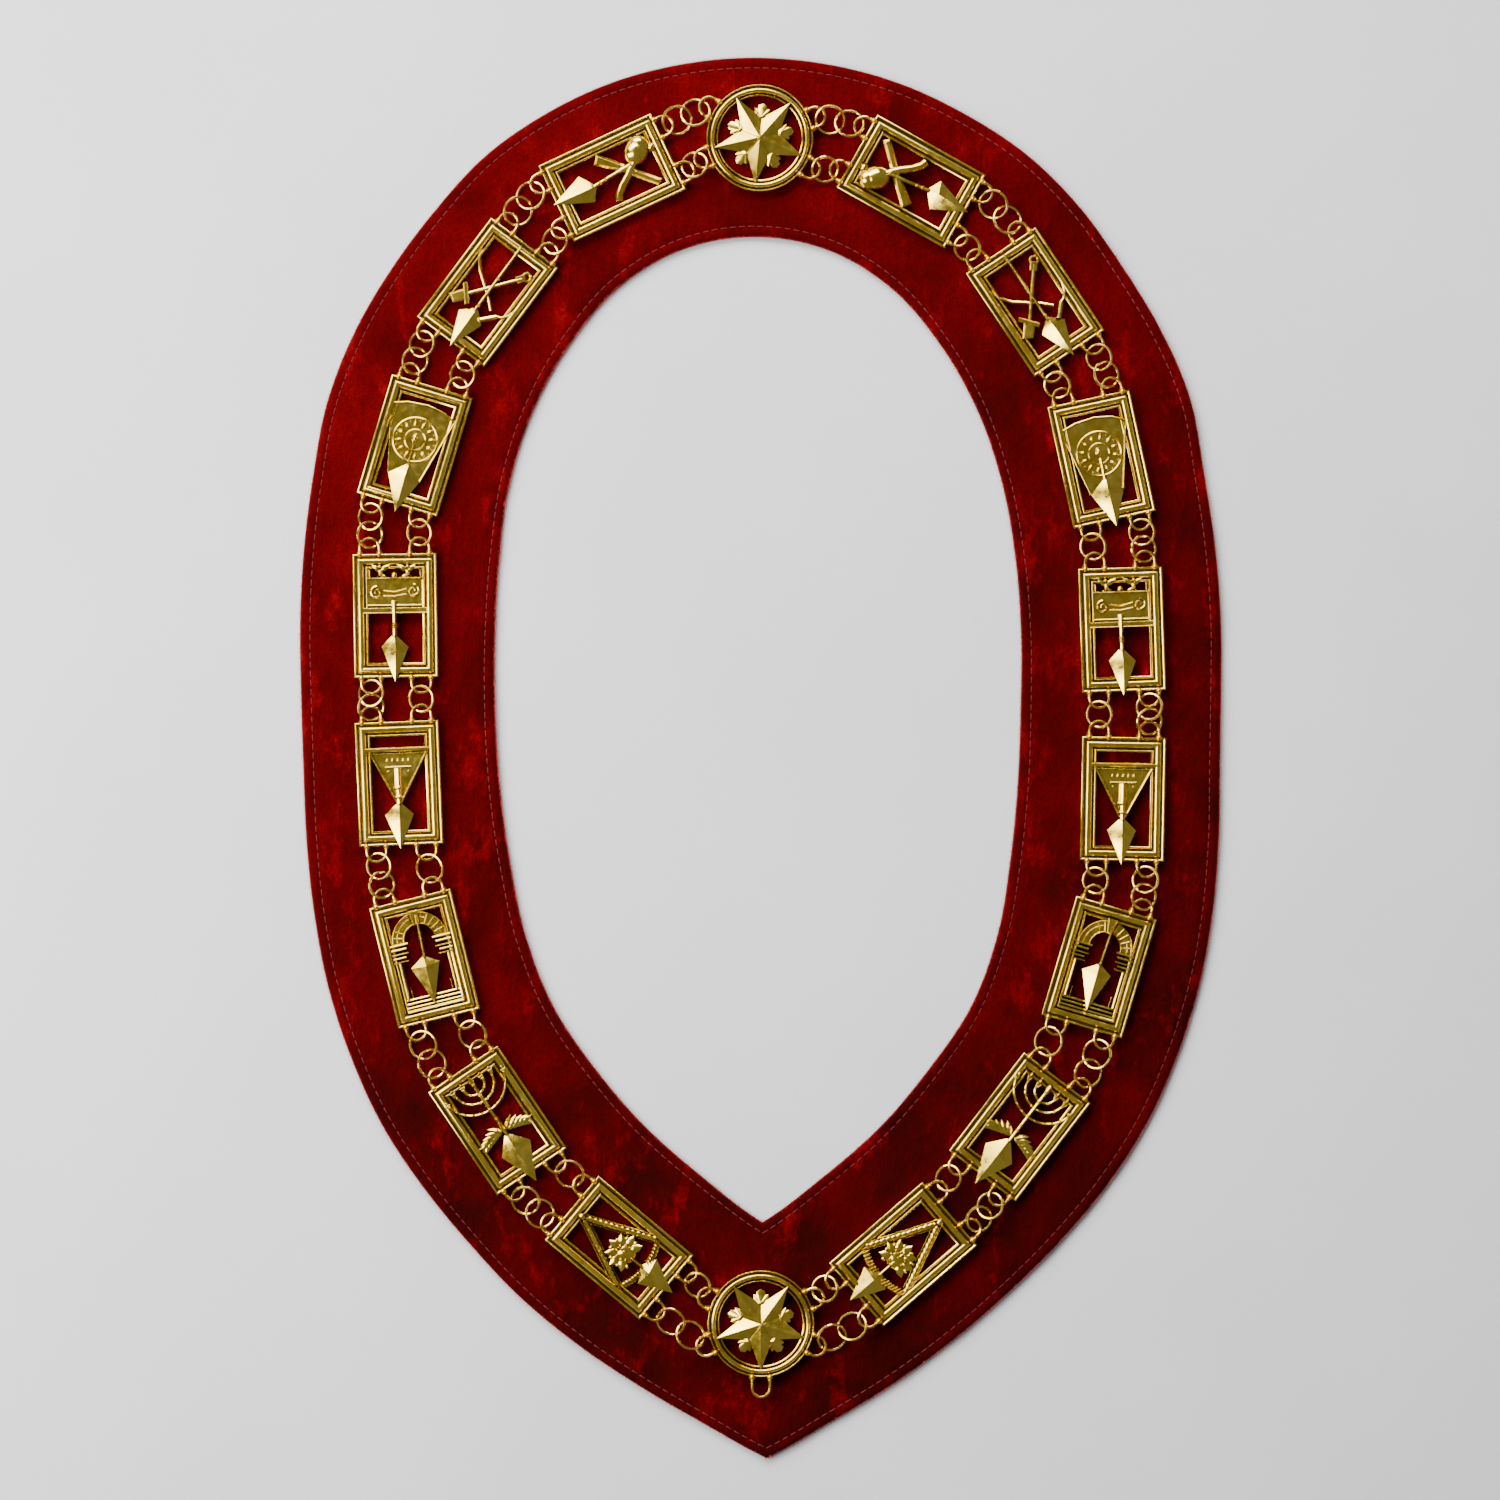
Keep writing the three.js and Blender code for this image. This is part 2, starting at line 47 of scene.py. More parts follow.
# Plates, as in the solids: an oblong frame, a round frame, and the heights of what is cast on them.
HALF_WIDTH = 14.3
HALF_LENGTH = 21.1
RAIL_WIDTH = 5.2
STAR_RADIUS = 18.2
STAR_RAIL = 4.1
STAR_TURNS = {"star_plate_top": -5.5, "star_plate_bottom": 0.0}
STAR_ANGLES = {"star_plate_top": (26, -26), "star_plate_bottom": (-22, 26)}
LIP = 2.75
BEAD = 3.25
GROOVE = 1.75
BACK = 0.7

# A trowel's blade: the height of its point, which passes over the rail, and of its crest.
TIP_HEIGHT = 3.75
CREST_HEIGHT = 4.6

# The wire loops on a plate's ends, the bail under the lower star, and the jump rings.
LOOP_WIRE = 0.5
LOOP_HALF_WIDTH = 3.3
LOOP_REACH = 5.2
LOOP_SPREAD = 8.5
LOOP_HEIGHT = 2.45
LOOP_SUNK = 0.8
BAIL_HALF_WIDTH = 3.0
BAIL_REACH = 6.6
RING_WIRE = 0.46
RING_RADIUS = 4.4
WIDE_RING_RADIUS = 4.85
WIDE_SLACK = 5.0
CLEARANCE = 1.06
SOLDERED = 0.5
CHORD = 0.3
RING_CUT = 1.4
SIDES = ("left", "right")
PLATES_A_SIDE = 8

# The velvet collar: the heights between which its solid's side wall gives the outline, how far its
# hem lies from its edge, its stitches, and the tips of its loose pile.
COLLAR_THICK = 2.6
COLLAR_STEPS = 1000
WALL_LOW = 0.3
WALL_HIGH = 0.8
HEM = 3.6
STITCH_PITCH = 3.1
STITCH_LENGTH = 2.1
STITCH_THREAD = 0.17
TIPS_A_STEP = 8

# The camera, in metres: it looks straight down at the middle of the view.
CAMERA_HEIGHT = 2.2
VIEW_WIDTH = 0.510
VIEW_MIDDLE = (-0.0036, 0.0027)
SENSOR_WIDTH = 36

# Edges of a casting that turn by more than this stay sharp.
SHARP_DEGREES = 32

# Points of a solid's underside lie within this of its lowest one.
FLAT = 0.05


# ---- plain geometry


def polar(radius, degrees, centre=(0.0, 0.0)):
    """The point at this distance and direction from a centre."""
    radians = math.radians(degrees)
    return (centre[0] + radius * math.cos(radians), centre[1] + radius * math.sin(radians))


def arc(centre, radius, start, end, steps):
    """Points along an arc, with both of its ends."""
    return [polar(radius, start + (end - start) * i / steps, centre) for i in range(steps + 1)]


def between(a, b, share):
    """The point at a share of the way from a to b."""
    return tuple(p + (q - p) * share for p, q in zip(a, b))


def turned(point, degrees, centre):
    """A point turned about the origin, and then moved to a centre."""
    cosine, sine = polar(1, degrees)
    x, y = point
    return (centre[0] + x * cosine - y * sine, centre[1] + x * sine + y * cosine)


def corner_normals(path, closed):
    """The mitred sideways direction at each point of a flat path."""
    count = len(path)
    normals = []
    for i in range(count):
        here = Vector(path[i][:2])
        arrive = here - Vector(path[i - 1][:2]) if closed or i > 0 else None
        leave = Vector(path[(i + 1) % count][:2]) - here if closed or i < count - 1 else None
        arrive = (arrive or leave).normalized()
        leave = (leave or arrive).normalized()
        across = Vector((-arrive.y - leave.y, arrive.x + leave.x)).normalized()
        stretch = max(0.35, across.dot(Vector((-arrive.y, arrive.x))))
        normals.append(across / stretch)
    return normals


def area_of(outline):
    """Signed: positive where the outline runs counter-clockwise."""
    return 0.5 * sum(a[0] * b[1] - b[0] * a[1] for a, b in zip(outline, outline[1:] + outline[:1]))


def inset(outline, distance):
    """The outline drawn in by a distance."""
    sign = 1 if area_of(outline) > 0 else -1
    moves = corner_normals(outline, True)
    return [(x + sign * distance * n.x, y + sign * distance * n.y) for (x, y), n in zip(outline, moves)]


def skin_faces(count, width, closed_along):
    """The faces of a skin over a number of closed rows, each of the same width."""
    faces = []
    for r in range(count if closed_along else count - 1):
        after = (r + 1) % count
        for c in range(width):
            beside = (c + 1) % width
            faces.append((r * width + c, r * width + beside, after * width + beside, after * width + c))
    return faces


def new_mesh(name, points, faces):
    """A mesh in metres from points in millimetres."""
    mesh = bpy.data.meshes.new(name)
    mesh.from_pydata([[length * MM for length in point] for point in points], [], faces)
    return mesh


def face_out(mesh):
    """Turns the faces of a mesh's closed surfaces outwards, and shades them smooth."""
    work = bmesh.new()
    work.from_mesh(mesh)
    bmesh.ops.recalc_face_normals(work, faces=work.faces)
    work.to_mesh(mesh)
    work.free()
    mesh.shade_smooth()


class Casting:
    """The surfaces that make up one cast piece, in its plate's own frame."""

    def __init__(self):
        self.points = []
        self.faces = []

    def add(self, points, faces):
        start = len(self.points)
        self.points += [tuple(point) for point in points]
        self.faces += [tuple(start + i for i in face) for face in faces]

    def rows(self, rows, closed=False):
        """A skin over closed rows of points, with capped ends unless it is closed along them too."""
        width = len(rows[0])
        points = [point for row in rows for point in row]
        faces = skin_faces(len(rows), width, closed)
        if not closed:
            faces.append(tuple(range(width)))
            faces.append(tuple(range((len(rows) - 1) * width, len(rows) * width)))
        self.add(points, faces)

    def sweep(self, path, section, closed=False):
        """A section of (across, height) points carried along a flat path."""
        normals = corner_normals(path, closed)
        rows = [[(x + a * n.x, y + a * n.y, z) for a, z in section] for (x, y), n in zip(path, normals)]
        self.rows(rows, closed)

    def bar(self, path, width, low, high, bevel=0.3):
        """A flat-topped bar along a path, with its upper edges taken off."""
        half = width / 2
        bevel = min(bevel, half * 0.6)
        self.sweep(path, [
            (-half, low), (-half, high - bevel), (-half + bevel, high),
            (half - bevel, high), (half, high - bevel), (half, low),
        ])

    def half_round(self, path, width, low, high, steps=6):
        """A bar with a rounded top along a path."""
        section = [(-width / 2, low)]
        shoulder = low + (high - low) * 0.35
        for i in range(steps + 1):
            angle = math.pi * (1 - i / steps)
            section.append((width / 2 * math.cos(angle), shoulder + (high - shoulder) * math.sin(angle)))
        section.append((width / 2, low))
        self.sweep(path, section)

    def slab(self, outline, low, high, bevel):
        """A plate of this outline, with its upper edge taken off."""
        top = inset(outline, bevel)
        self.rows([
            [(x, y, low) for x, y in outline],
            [(x, y, high - bevel) for x, y in outline],
            [(x, y, high) for x, y in top],
        ])

    def dome(self, centre, radii, low, high, turn=0.0, sides=16, rings=5):
        """A rounded boss on an oval foot."""
        rows = []
        for ring in range(rings + 1):
            lift = math.sin(math.pi / 2 * ring / rings)
            share = max(0.03, math.cos(math.pi / 2 * ring / rings))
            row = []
            for side in range(sides):
                x, y = polar(share, 360 * side / sides)
                spot = turned((x * radii[0], y * radii[1]), turn, centre)
                row.append((*spot, low + (high - low) * lift))
            rows.append(row)
        rows.insert(0, [(x, y, min(low, BACK)) for x, y, _ in rows[0]])
        self.rows(rows)

    def tube(self, path, radius, sides, closed=False):
        """A round wire along a path in space."""
        path = [Vector(point) for point in path]
        count = len(path)
        rows = []
        side = None
        for i, point in enumerate(path):
            ahead = path[(i + 1) % count] if closed or i < count - 1 else point
            behind = path[i - 1] if closed or i > 0 else point
            along = (ahead - behind).normalized()
            if side is None:
                side = along.orthogonal()
            side = (side - along * side.dot(along)).normalized()
            up = along.cross(side)
            spots = [polar(radius, 360 * k / sides) for k in range(sides)]
            rows.append([point + side * x + up * y for x, y in spots])
        self.rows(rows, closed)

    def pyramid(self, outline, low, edge, crest, top):
        """A faceted boss: an upright edge round an outline, and flat faces up to a crest."""
        count = len(outline)
        points = [(x, y, low) for x, y in outline] + [(x, y, edge) for x, y in outline] + [(*crest, top)]
        faces = [tuple(range(count))]
        for i in range(count):
            after = (i + 1) % count
            faces.append((i, after, count + after, count + i))
            faces.append((count + i, count + after, 2 * count))
        self.add(points, faces)

    def beads(self, path, radius, pitch, low, high):
        """A row of small round grains along a path."""
        lengths = [0.0]
        for a, b in zip(path, path[1:]):
            lengths.append(lengths[-1] + math.dist(a, b))
        count = max(1, round(lengths[-1] / pitch))
        for i in range(count + 1):
            wanted = lengths[-1] * i / count
            k = max(j for j in range(len(path) - 1) if lengths[j] <= wanted + 1e-9)
            share = (wanted - lengths[k]) / (lengths[k + 1] - lengths[k])
            self.dome(between(path[k], path[k + 1], share), (radius, radius), low, high, sides=8, rings=3)

    def rope(self, start, end, radius, height):
        """A twisted cord of three strands, laid straight."""
        pitch, strands = 1.9, 3
        length = math.dist(start, end)
        steps = max(8, round(length / 0.34))
        along = Vector((end[0] - start[0], end[1] - start[1], 0)).normalized()
        across = Vector((-along.y, along.x, 0))
        rows = []
        for i in range(steps + 1):
            centre = Vector((*between(start, end, i / steps), height))
            twist = 2 * math.pi * (length * i / steps) / (pitch * strands)
            row = []
            for k in range(12):
                angle = 2 * math.pi * k / 12
                size = radius * (0.8 + 0.2 * abs(math.cos(strands / 2 * (angle - twist))) ** 0.7)
                rise = Vector((0, 0, size * math.sin(angle)))
                row.append(centre + across * (size * math.cos(angle)) + rise)
            rows.append(row)
        self.rows(rows)

    def leaf(self, foot, turn, length, width, low, high):
        """A pointed leaf with a raised midrib."""
        shape = [(0, 0.18), (0.3, 1), (0.65, 0.8), (1, 0)]
        left = [(along * length, across * width / 2) for along, across in shape]
        outline = left + [(x, -y) for x, y in reversed(left[:-1])]
        outline = [turned(point, turn, foot) for point in outline]
        crest = turned((0.42 * length, 0.0), turn, foot)
        self.pyramid(outline, low, low + 0.6 * (high - low), crest, high)

    def mesh(self, name):
        """The piece as a mesh in metres, smooth but for its real edges."""
        mesh = new_mesh(name, self.points, self.faces)
        face_out(mesh)
        mesh.set_sharp_from_angle(angle=math.radians(SHARP_DEGREES))
        return mesh


# ---- materials


class Paint:
    """A material put together from procedural nodes, in the object's own space."""

    def __init__(self, name):
        self.material = bpy.data.materials.new(name)
        self.material.use_nodes = True
        self.nodes = self.material.node_tree.nodes
        self.shader = self.nodes["Principled BSDF"]
        self.place = self.nodes.new("ShaderNodeTexCoord").outputs["Object"]

    def fill(self, node, inputs):
        """Fills a node's inputs: a socket is linked, and a plain value is set."""
        for key, value in inputs.items():
            if isinstance(value, bpy.types.NodeSocket):
                self.material.node_tree.links.new(value, node.inputs[key])
            else:
                node.inputs[key].default_value = value

    def node(self, kind, inputs):
        node = self.nodes.new(kind)
        self.fill(node, inputs)
        return node

    def stretched(self, scale):
        """The object's own space with its axes scaled."""
        return self.node("ShaderNodeMapping", {"Vector": self.place, "Scale": scale}).outputs["Vector"]

    def noise(self, scale, detail, roughness=0.55, place=None):
        place = self.place if place is None else place
        inputs = {"Vector": place, "Scale": scale, "Detail": detail, "Roughness": roughness}
        return self.node("ShaderNodeTexNoise", inputs).outputs["Fac"]

    def ramp(self, value, stops):
        """A colour ramp over a value; stops are (position, colour) pairs."""
        node = self.node("ShaderNodeValToRGB", {"Fac": value})
        elements = node.color_ramp.elements
        while len(elements) < len(stops):
            elements.new(0.5)
        for element, (position, colour) in zip(elements, stops):
            element.position = position
            element.color = (*colour, 1.0)
        return node.outputs["Color"]

    def remap(self, value, low, high, to_low, to_high):
        """A value carried from one range to another."""
        inputs = {"Value": value, "From Min": low, "From Max": high, "To Min": to_low, "To Max": to_high}
        return self.node("ShaderNodeMapRange", inputs).outputs["Result"]

    def mix(self, share, first, second):
        """A colour socket mixed with a plain colour by a share."""
        node = self.nodes.new("ShaderNodeMix")
        node.data_type = "RGBA"
        self.fill(node, {0: share, 6: first, 7: (*second, 1.0)})
        return node.outputs[2]

    def add(self, first, second):
        node = self.node("ShaderNodeMath", {0: first, 1: second})
        node.operation = "ADD"
        return node.outputs[0]

    def bump(self, height, strength, distance, normal=None):
        """Relief from a height, over the surface's own normal or another relief."""
        node = self.node("ShaderNodeBump", {"Height": height, "Strength": strength, "Distance": distance})
        if normal is not None:
            self.fill(node, {"Normal": normal})
        return node.outputs["Normal"]


def gilt_material(name, bright, deep, painted_shade, rough):
    """Gold plating over a casting: its own colour on what stands up, and painted brown shade in the corners.
    """
    paint = Paint(name)
    tone = paint.ramp(paint.noise(190.0, 4.0), [(0.35, deep), (0.62, bright)])
    # Painted shade: where ambient occlusion finds a corner or recess, the colour is mixed towards the shade
    # colour.
    occlusion = paint.node("ShaderNodeAmbientOcclusion", {"Distance": 1.6 * MM})
    occlusion.samples = 4
    depth = paint.remap(occlusion.outputs["AO"], 0.25, 0.85, 1.0, 0.0)
    smear = paint.noise(420.0, 5.0)
    edge = paint.node("ShaderNodeBevel", {"Radius": 0.12 * MM})
    edge.samples = 4
    paint.fill(paint.shader, {
        "Base Color": paint.mix(depth, tone, painted_shade),
        "Metallic": 1.0,
        "Roughness": paint.remap(smear, 0.3, 0.7, rough - 0.07, rough + 0.1),
        "Normal": paint.bump(paint.noise(2100.0, 3.0), 0.22, 0.05 * MM, edge.outputs["Normal"]),
    })
    return paint.material


def velvet_material():
    """Deep red crushed velvet: its pile leans in patches, with painted light towards the nape and painted
    shade towards the right.
    """
    paint = Paint("velvet_pile")
    axes = paint.node("ShaderNodeSeparateXYZ", {0: paint.place})
    # Painted light and shade: the pile's colour is lighter towards the nape and darker towards the right, as
    # the light falls from the upper left.
    painted_light_to_nape = paint.remap(axes.outputs["Y"], -0.24, 0.24, -0.09, 0.18)
    painted_shade_to_right = paint.remap(axes.outputs["X"], -0.16, 0.16, -0.05, -0.1)
    lean_and_painted_light = paint.add(paint.add(paint.noise(30.0, 6.0, 0.62), painted_light_to_nape), painted_shade_to_right)
    shades = [(0.25, (0.028, 0.0, 0.0)), (0.5, (0.08, 0.0, 0.0006)), (0.85, (0.16, 0.0008, 0.002))]
    streaks = paint.noise(95.0, 8.0, 0.72, paint.stretched((1.0, 0.5, 1.0)))
    crush = paint.remap(streaks, 0.54, 0.74, 0.0, 0.8)
    pile_and_painted_light = paint.mix(crush, paint.ramp(lean_and_painted_light, shades), (0.3, 0.002, 0.005))
    flecks = paint.remap(paint.noise(1100.0, 3.0, 0.7), 0.35, 0.7, 0.0, 0.55)
    pile = paint.bump(paint.noise(2600.0, 2.0, 0.5), 0.6, 0.4 * MM)
    paint.fill(paint.shader, {
        "Base Color": paint.mix(flecks, pile_and_painted_light, (0.03, 0.0, 0.0)),
        "Roughness": 0.95,
        "Specular IOR Level": 0.05,
        "Sheen Weight": 0.6,
        "Sheen Roughness": 0.3,
        "Sheen Tint": (1.0, 0.05, 0.05, 1.0),
        "Normal": paint.bump(streaks, 0.8, 3.0 * MM, pile),
    })
    return paint.material


def fibre_material(name, scale, detail, dark, light, sheen, tint):
    """Red fibre of uneven colour with a soft sheen."""
    paint = Paint(name)
    paint.fill(paint.shader, {
        "Base Color": paint.ramp(paint.noise(scale, detail), [(0.35, dark), (0.65, light)]),
        "Roughness": 0.7,
        "Sheen Weight": sheen,
        "Sheen Tint": (*tint, 1.0),
    })
    return paint.material


def floor_material():
    paint = Paint("pale_floor")
    shades = [(0.3, (0.76, 0.76, 0.77)), (0.7, (0.81, 0.81, 0.82))]
    paint.fill(paint.shader, {"Base Color": paint.ramp(paint.noise(9.0, 4.0), shades), "Roughness": 0.8})
    return paint.material


# The third colour of each gilt is the painted shade in its corners and recesses.
GILT = gilt_material("gilt_cast", (1.0, 0.71, 0.1), (0.8, 0.52, 0.045), (0.17, 0.085, 0.004), 0.16)
WIRE = gilt_material("gilt_wire", (1.0, 0.73, 0.13), (0.85, 0.56, 0.06), (0.3, 0.15, 0.01), 0.15)
SOLDER = gilt_material("gilt_solder", (1.0, 0.62, 0.03), (0.9, 0.48, 0.015), (0.45, 0.2, 0.005), 0.36)
VELVET = velvet_material()
THREAD = fibre_material("hem_thread", 3000.0, 2.0, (0.05, 0.0, 0.001), (0.2, 0.002, 0.005),
                        0.25, (1.0, 0.1, 0.1))
# The loose tips of the pile catch the light, so they are lighter than the pile itself.
FRINGE = fibre_material("velvet_tips", 300.0, 3.0, (0.2, 0.001, 0.003), (0.55, 0.02, 0.025),
                        0.8, (1.0, 0.25, 0.2))


# ---- the two frames


def rail_section(width):
    """Across a rail from its outer edge: a lip, a groove, a round bead, a groove and a lip."""
    lip = 0.18 * width
    middle, half = 0.5 * width, 0.225 * width
    bead_foot = GROOVE + 0.25
    section = [(0, 0), (0, LIP - 0.5), (0.12 * lip, LIP - 0.2), (0.35 * lip, LIP - 0.03), (0.6 * lip, LIP)]
    section += [(0.88 * lip, LIP - 0.16), (lip, LIP - 0.45), (1.12 * lip, GROOVE), (middle - half, GROOVE)]
    for step in range(13):
        angle = math.pi * (1 - step / 12)
        section.append((middle + half * math.cos(angle), bead_foot + (BEAD - bead_foot) * math.sin(angle)))
    section += [(middle + half, GROOVE), (width - 1.25 * lip, GROOVE), (width - 1.12 * lip, LIP - 0.6)]
    section += [(width - 0.9 * lip, LIP - 0.3), (width - 0.6 * lip, LIP - 0.12)]
    section += [(width - 0.25 * lip, LIP - 0.25), (width - 0.05 * lip, LIP - 0.5)]
    section += [(width, LIP - 0.9), (width, 0)]
    return section


def oblong_frame(casting):
    corners = [(-HALF_WIDTH, -HALF_LENGTH), (HALF_WIDTH, -HALF_LENGTH),
               (HALF_WIDTH, HALF_LENGTH), (-HALF_WIDTH, HALF_LENGTH)]
    casting.sweep(corners, rail_section(RAIL_WIDTH), closed=True)


def round_frame(casting):
    outline = [polar(STAR_RADIUS, 5 * step) for step in range(72)]
    casting.sweep(outline, rail_section(STAR_RAIL), closed=True)


# ---- emblems


def blade(casting, shoulder, left, right, tip, crest):
    """The kite-shaped blade of a trowel: four flat faces, its point raised over the rail."""
    outline = [(shoulder, 2.3), (left, 2.2), (tip, TIP_HEIGHT), (right, 2.2)]
    foot = [(*spot, BACK) for spot, _ in outline]
    edge = [(*spot, height) for spot, height in outline]
    faces = [(0, 1, 2, 3)]
    for i in range(4):
        after = (i + 1) % 4
        faces += [(i, after, 4 + after, 4 + i), (4 + i, 4 + after, 8)]
    casting.add(foot + edge + [(*crest, CREST_HEIGHT)], faces)


def handle(casting, start, end, width=1.6, rings=()):
    """A round handle with raised rings at these shares of its length."""
    casting.half_round([start, end], width, BACK, 3.6)
    across = math.degrees(math.atan2(end[1] - start[1], end[0] - start[0])) + 90
    for share in rings:
        casting.dome(between(start, end, share), (width * 0.78, width * 0.5), BACK, 4.0, across, 12, 3)


def mallet_emblem(casting):
    """A chisel and a round mallet crossed under a trowel."""
    chisel = [(-9.6, -1.6), (-6.4, -3.9), (0.3, 4.5), (9.2, 13.2), (7.5, 15.1), (-1.7, 6.2)]
    casting.slab(chisel, BACK, 3.0, 0.75)
    casting.half_round([(8.3, -1.3), (6.2, -0.4), (4.0, 1.8), (1.6, 5.2), (-0.6, 7.6)], 3.0, BACK, 3.6, 8)
    casting.half_round([(-0.2, 7.2), (-2.2, 9.4)], 2.6, BACK, 3.6, 8)
    casting.dome((-4.6, 11.0), (5.0, 4.3), 1.2, 4.9, 132, 24, 7)
    casting.dome((-6.6, 13.2), (3.9, 3.1), 1.2, 4.6, 40, 20, 6)
    casting.dome((-3.7, 16.2), (2.0, 1.7), 1.0, 3.6, 0, 16, 5)
    handle(casting, (-1.4, 8.0), (0.2, -7.0), 1.8, (0.04, 0.7, 0.84))
    blade(casting, (0.3, -6.0), (-5.1, -10.2), (5.1, -8.9), (0.2, -22.0), (0.5, -10.4))


def hammer_emblem(casting):
    """A hammer on a ringed shaft and a curved tool crossed under a trowel."""
    casting.half_round([(-6.0, -5.4), (6.6, 10.6)], 1.7, BACK, 3.2)
    casting.slab([(-10.5, -8.2), (-7.3, -9.9), (-3.4, -5.6), (-6.6, -3.1)], BACK, 3.4, 0.6)
    casting.bar([(-8.0, -1.9), (-3.2, -7.4)], 1.5, BACK, 3.7)
    casting.bar([(5.4, 9.2), (7.2, 11.6)], 2.5, BACK, 3.1)
    casting.tube([(*point, 2.5) for point in arc((7.6, 12.0), 1.35, 0, 330, 11)], 0.5, 8, closed=True)
    casting.half_round([(-11.2, 11.8), (-9.6, 8.0), (-6.3, 4.2), (-2.2, 1.2), (1.6, -1.6), (4.6, -4.4)],
                       1.5, BACK, 2.6)
    casting.half_round([(3.6, -9.0), (7.4, -4.9)], 2.3, BACK, 3.5)
    casting.half_round([(7.0, -5.0), (8.8, -4.3), (10.4, -2.4), (11.3, 0.4)], 1.3, BACK, 3.2)
    handle(casting, (0.0, 19.0), (0.2, -7.4), 1.5, (0.5, 0.93))
    blade(casting, (0.4, -6.2), (-4.2, -10.6), (5.1, -10.4), (0.8, -22.3), (0.7, -11.2))


def keystone_emblem(casting):
    """A keystone with a round emblem of plain grains, over a trowel's blade."""
    top = [(-11.9, 11.7), (-6.2, 13.6), (0.6, 14.3), (6.4, 13.4), (11.0, 11.2)]
    outline = [(-6.3, -11.2), (5.3, -11.6)] + top[::-1]
    casting.slab(outline, BACK, 2.3, 0.3)
    casting.half_round(top, 0.9, 1.5, 2.9)
    casting.half_round([(-11.5, 11.3), (-6.1, -11.0)], 0.8, 1.5, 2.7)
    casting.half_round([(10.7, 10.8), (5.2, -11.2)], 0.9, 1.5, 2.9)
    centre = (-0.3, 1.9)
    casting.tube([(*polar(7.5, 7.5 * k, centre), 2.3) for k in range(48)], 0.38, 8, closed=True)
    casting.tube([(*polar(3.5, 12 * k, centre), 2.3) for k in range(30)], 0.32, 8, closed=True)
    for k in range(12):
        casting.dome(polar(5.5, 30 * k + 15, centre), (1.0, 0.62), 2.0, 3.0, 30 * k + 15, 10, 3)
    for k in range(24):
        casting.dome(polar(6.7, 15 * k, centre), (0.24, 0.24), 2.0, 2.6, 0, 6, 2)
    casting.dome((-0.5, 2.4), (1.0, 1.6), 2.0, 3.3)
    casting.half_round([(-0.3, 0.4), (-0.3, -6.8)], 0.9, 1.5, 3.0)
    blade(casting, (0.0, -6.2), (-6.1, -11.0), (5.2, -11.4), (0.2, -23.4), (0.0, -11.4))


def winged_figure(casting, x, side):
    """A small kneeling figure whose wings reach up and inward over the chest."""
    casting.dome((x, 14.6), (1.0, 1.5), 1.4, 3.4, 0, 10, 4)
    casting.dome((x + 0.15 * side, 16.8), (0.75, 0.8), 1.8, 3.9, 0, 10, 4)
    casting.leaf((x, 15.2), 90 + 58 * side, 4.4, 1.7, 1.5, 3.3)
    casting.leaf((x, 15.0), 90 - 50 * side, 4.0, 1.5, 1.5, 3.1)
    casting.leaf((x + 0.4 * side, 13.6), 90 + 95 * side, 2.4, 1.2, 1.4, 2.6)
    casting.half_round([(x - 0.9, 13.4), (x - 0.9, 12.6)], 0.9, BACK, 2.4)
    casting.half_round([(x + 0.9, 13.4), (x + 0.9, 12.6)], 0.9, BACK, 2.4)


def chest_emblem(casting):
    """A chest with a curl at each side and two winged figures on its lid, over a trowel."""
    casting.bar([(-9.4, 7.6), (9.4, 7.6)], 9.8, BACK, 2.2, 0.2)
    casting.half_round([(-9.6, 12.7), (9.6, 12.7)], 1.1, BACK, 3.2)
    casting.half_round([(-9.4, 3.5), (9.4, 3.5)], 0.7, 1.5, 2.8)
    casting.bar([(-11.2, 1.8), (11.2, 1.8)], 2.2, BACK, 2.9, 0.35)
    casting.half_round([(-11.2, 0.9), (11.2, 0.9)], 0.7, BACK, 3.1)
    for side, height in ((-1, 7.8), (1, 8.4)):
        curl = [polar(2.2 - 0.08 * k, 90 - side * 22 * k, (6.2 * side, height)) for k in range(22)]
        casting.tube([(*point, 2.4) for point in curl], 0.42, 8)
        casting.half_round([(3.9 * side, height + 0.7), (0, 8.0)], 0.5, 1.6, 2.6)
        casting.half_round([(3.9 * side, height - 1.1), (0, 6.6)], 0.5, 1.6, 2.6)
        winged_figure(casting, 4.6 * side - 0.3, side)
        casting.half_round([(8.6 * side, 13.0), (8.6 * side, 15.6)], 0.8, BACK, 2.7)
    casting.dome((-0.2, 13.6), (1.3, 1.5), 1.2, 3.1)
    handle(casting, (-0.3, 5.1), (-0.3, -7.0), 1.9, (0.66, 0.74))
    blade(casting, (-0.5, -6.0), (-4.8, -10.4), (4.3, -10.7), (-0.2, -22.5), (0.1, -11.0))


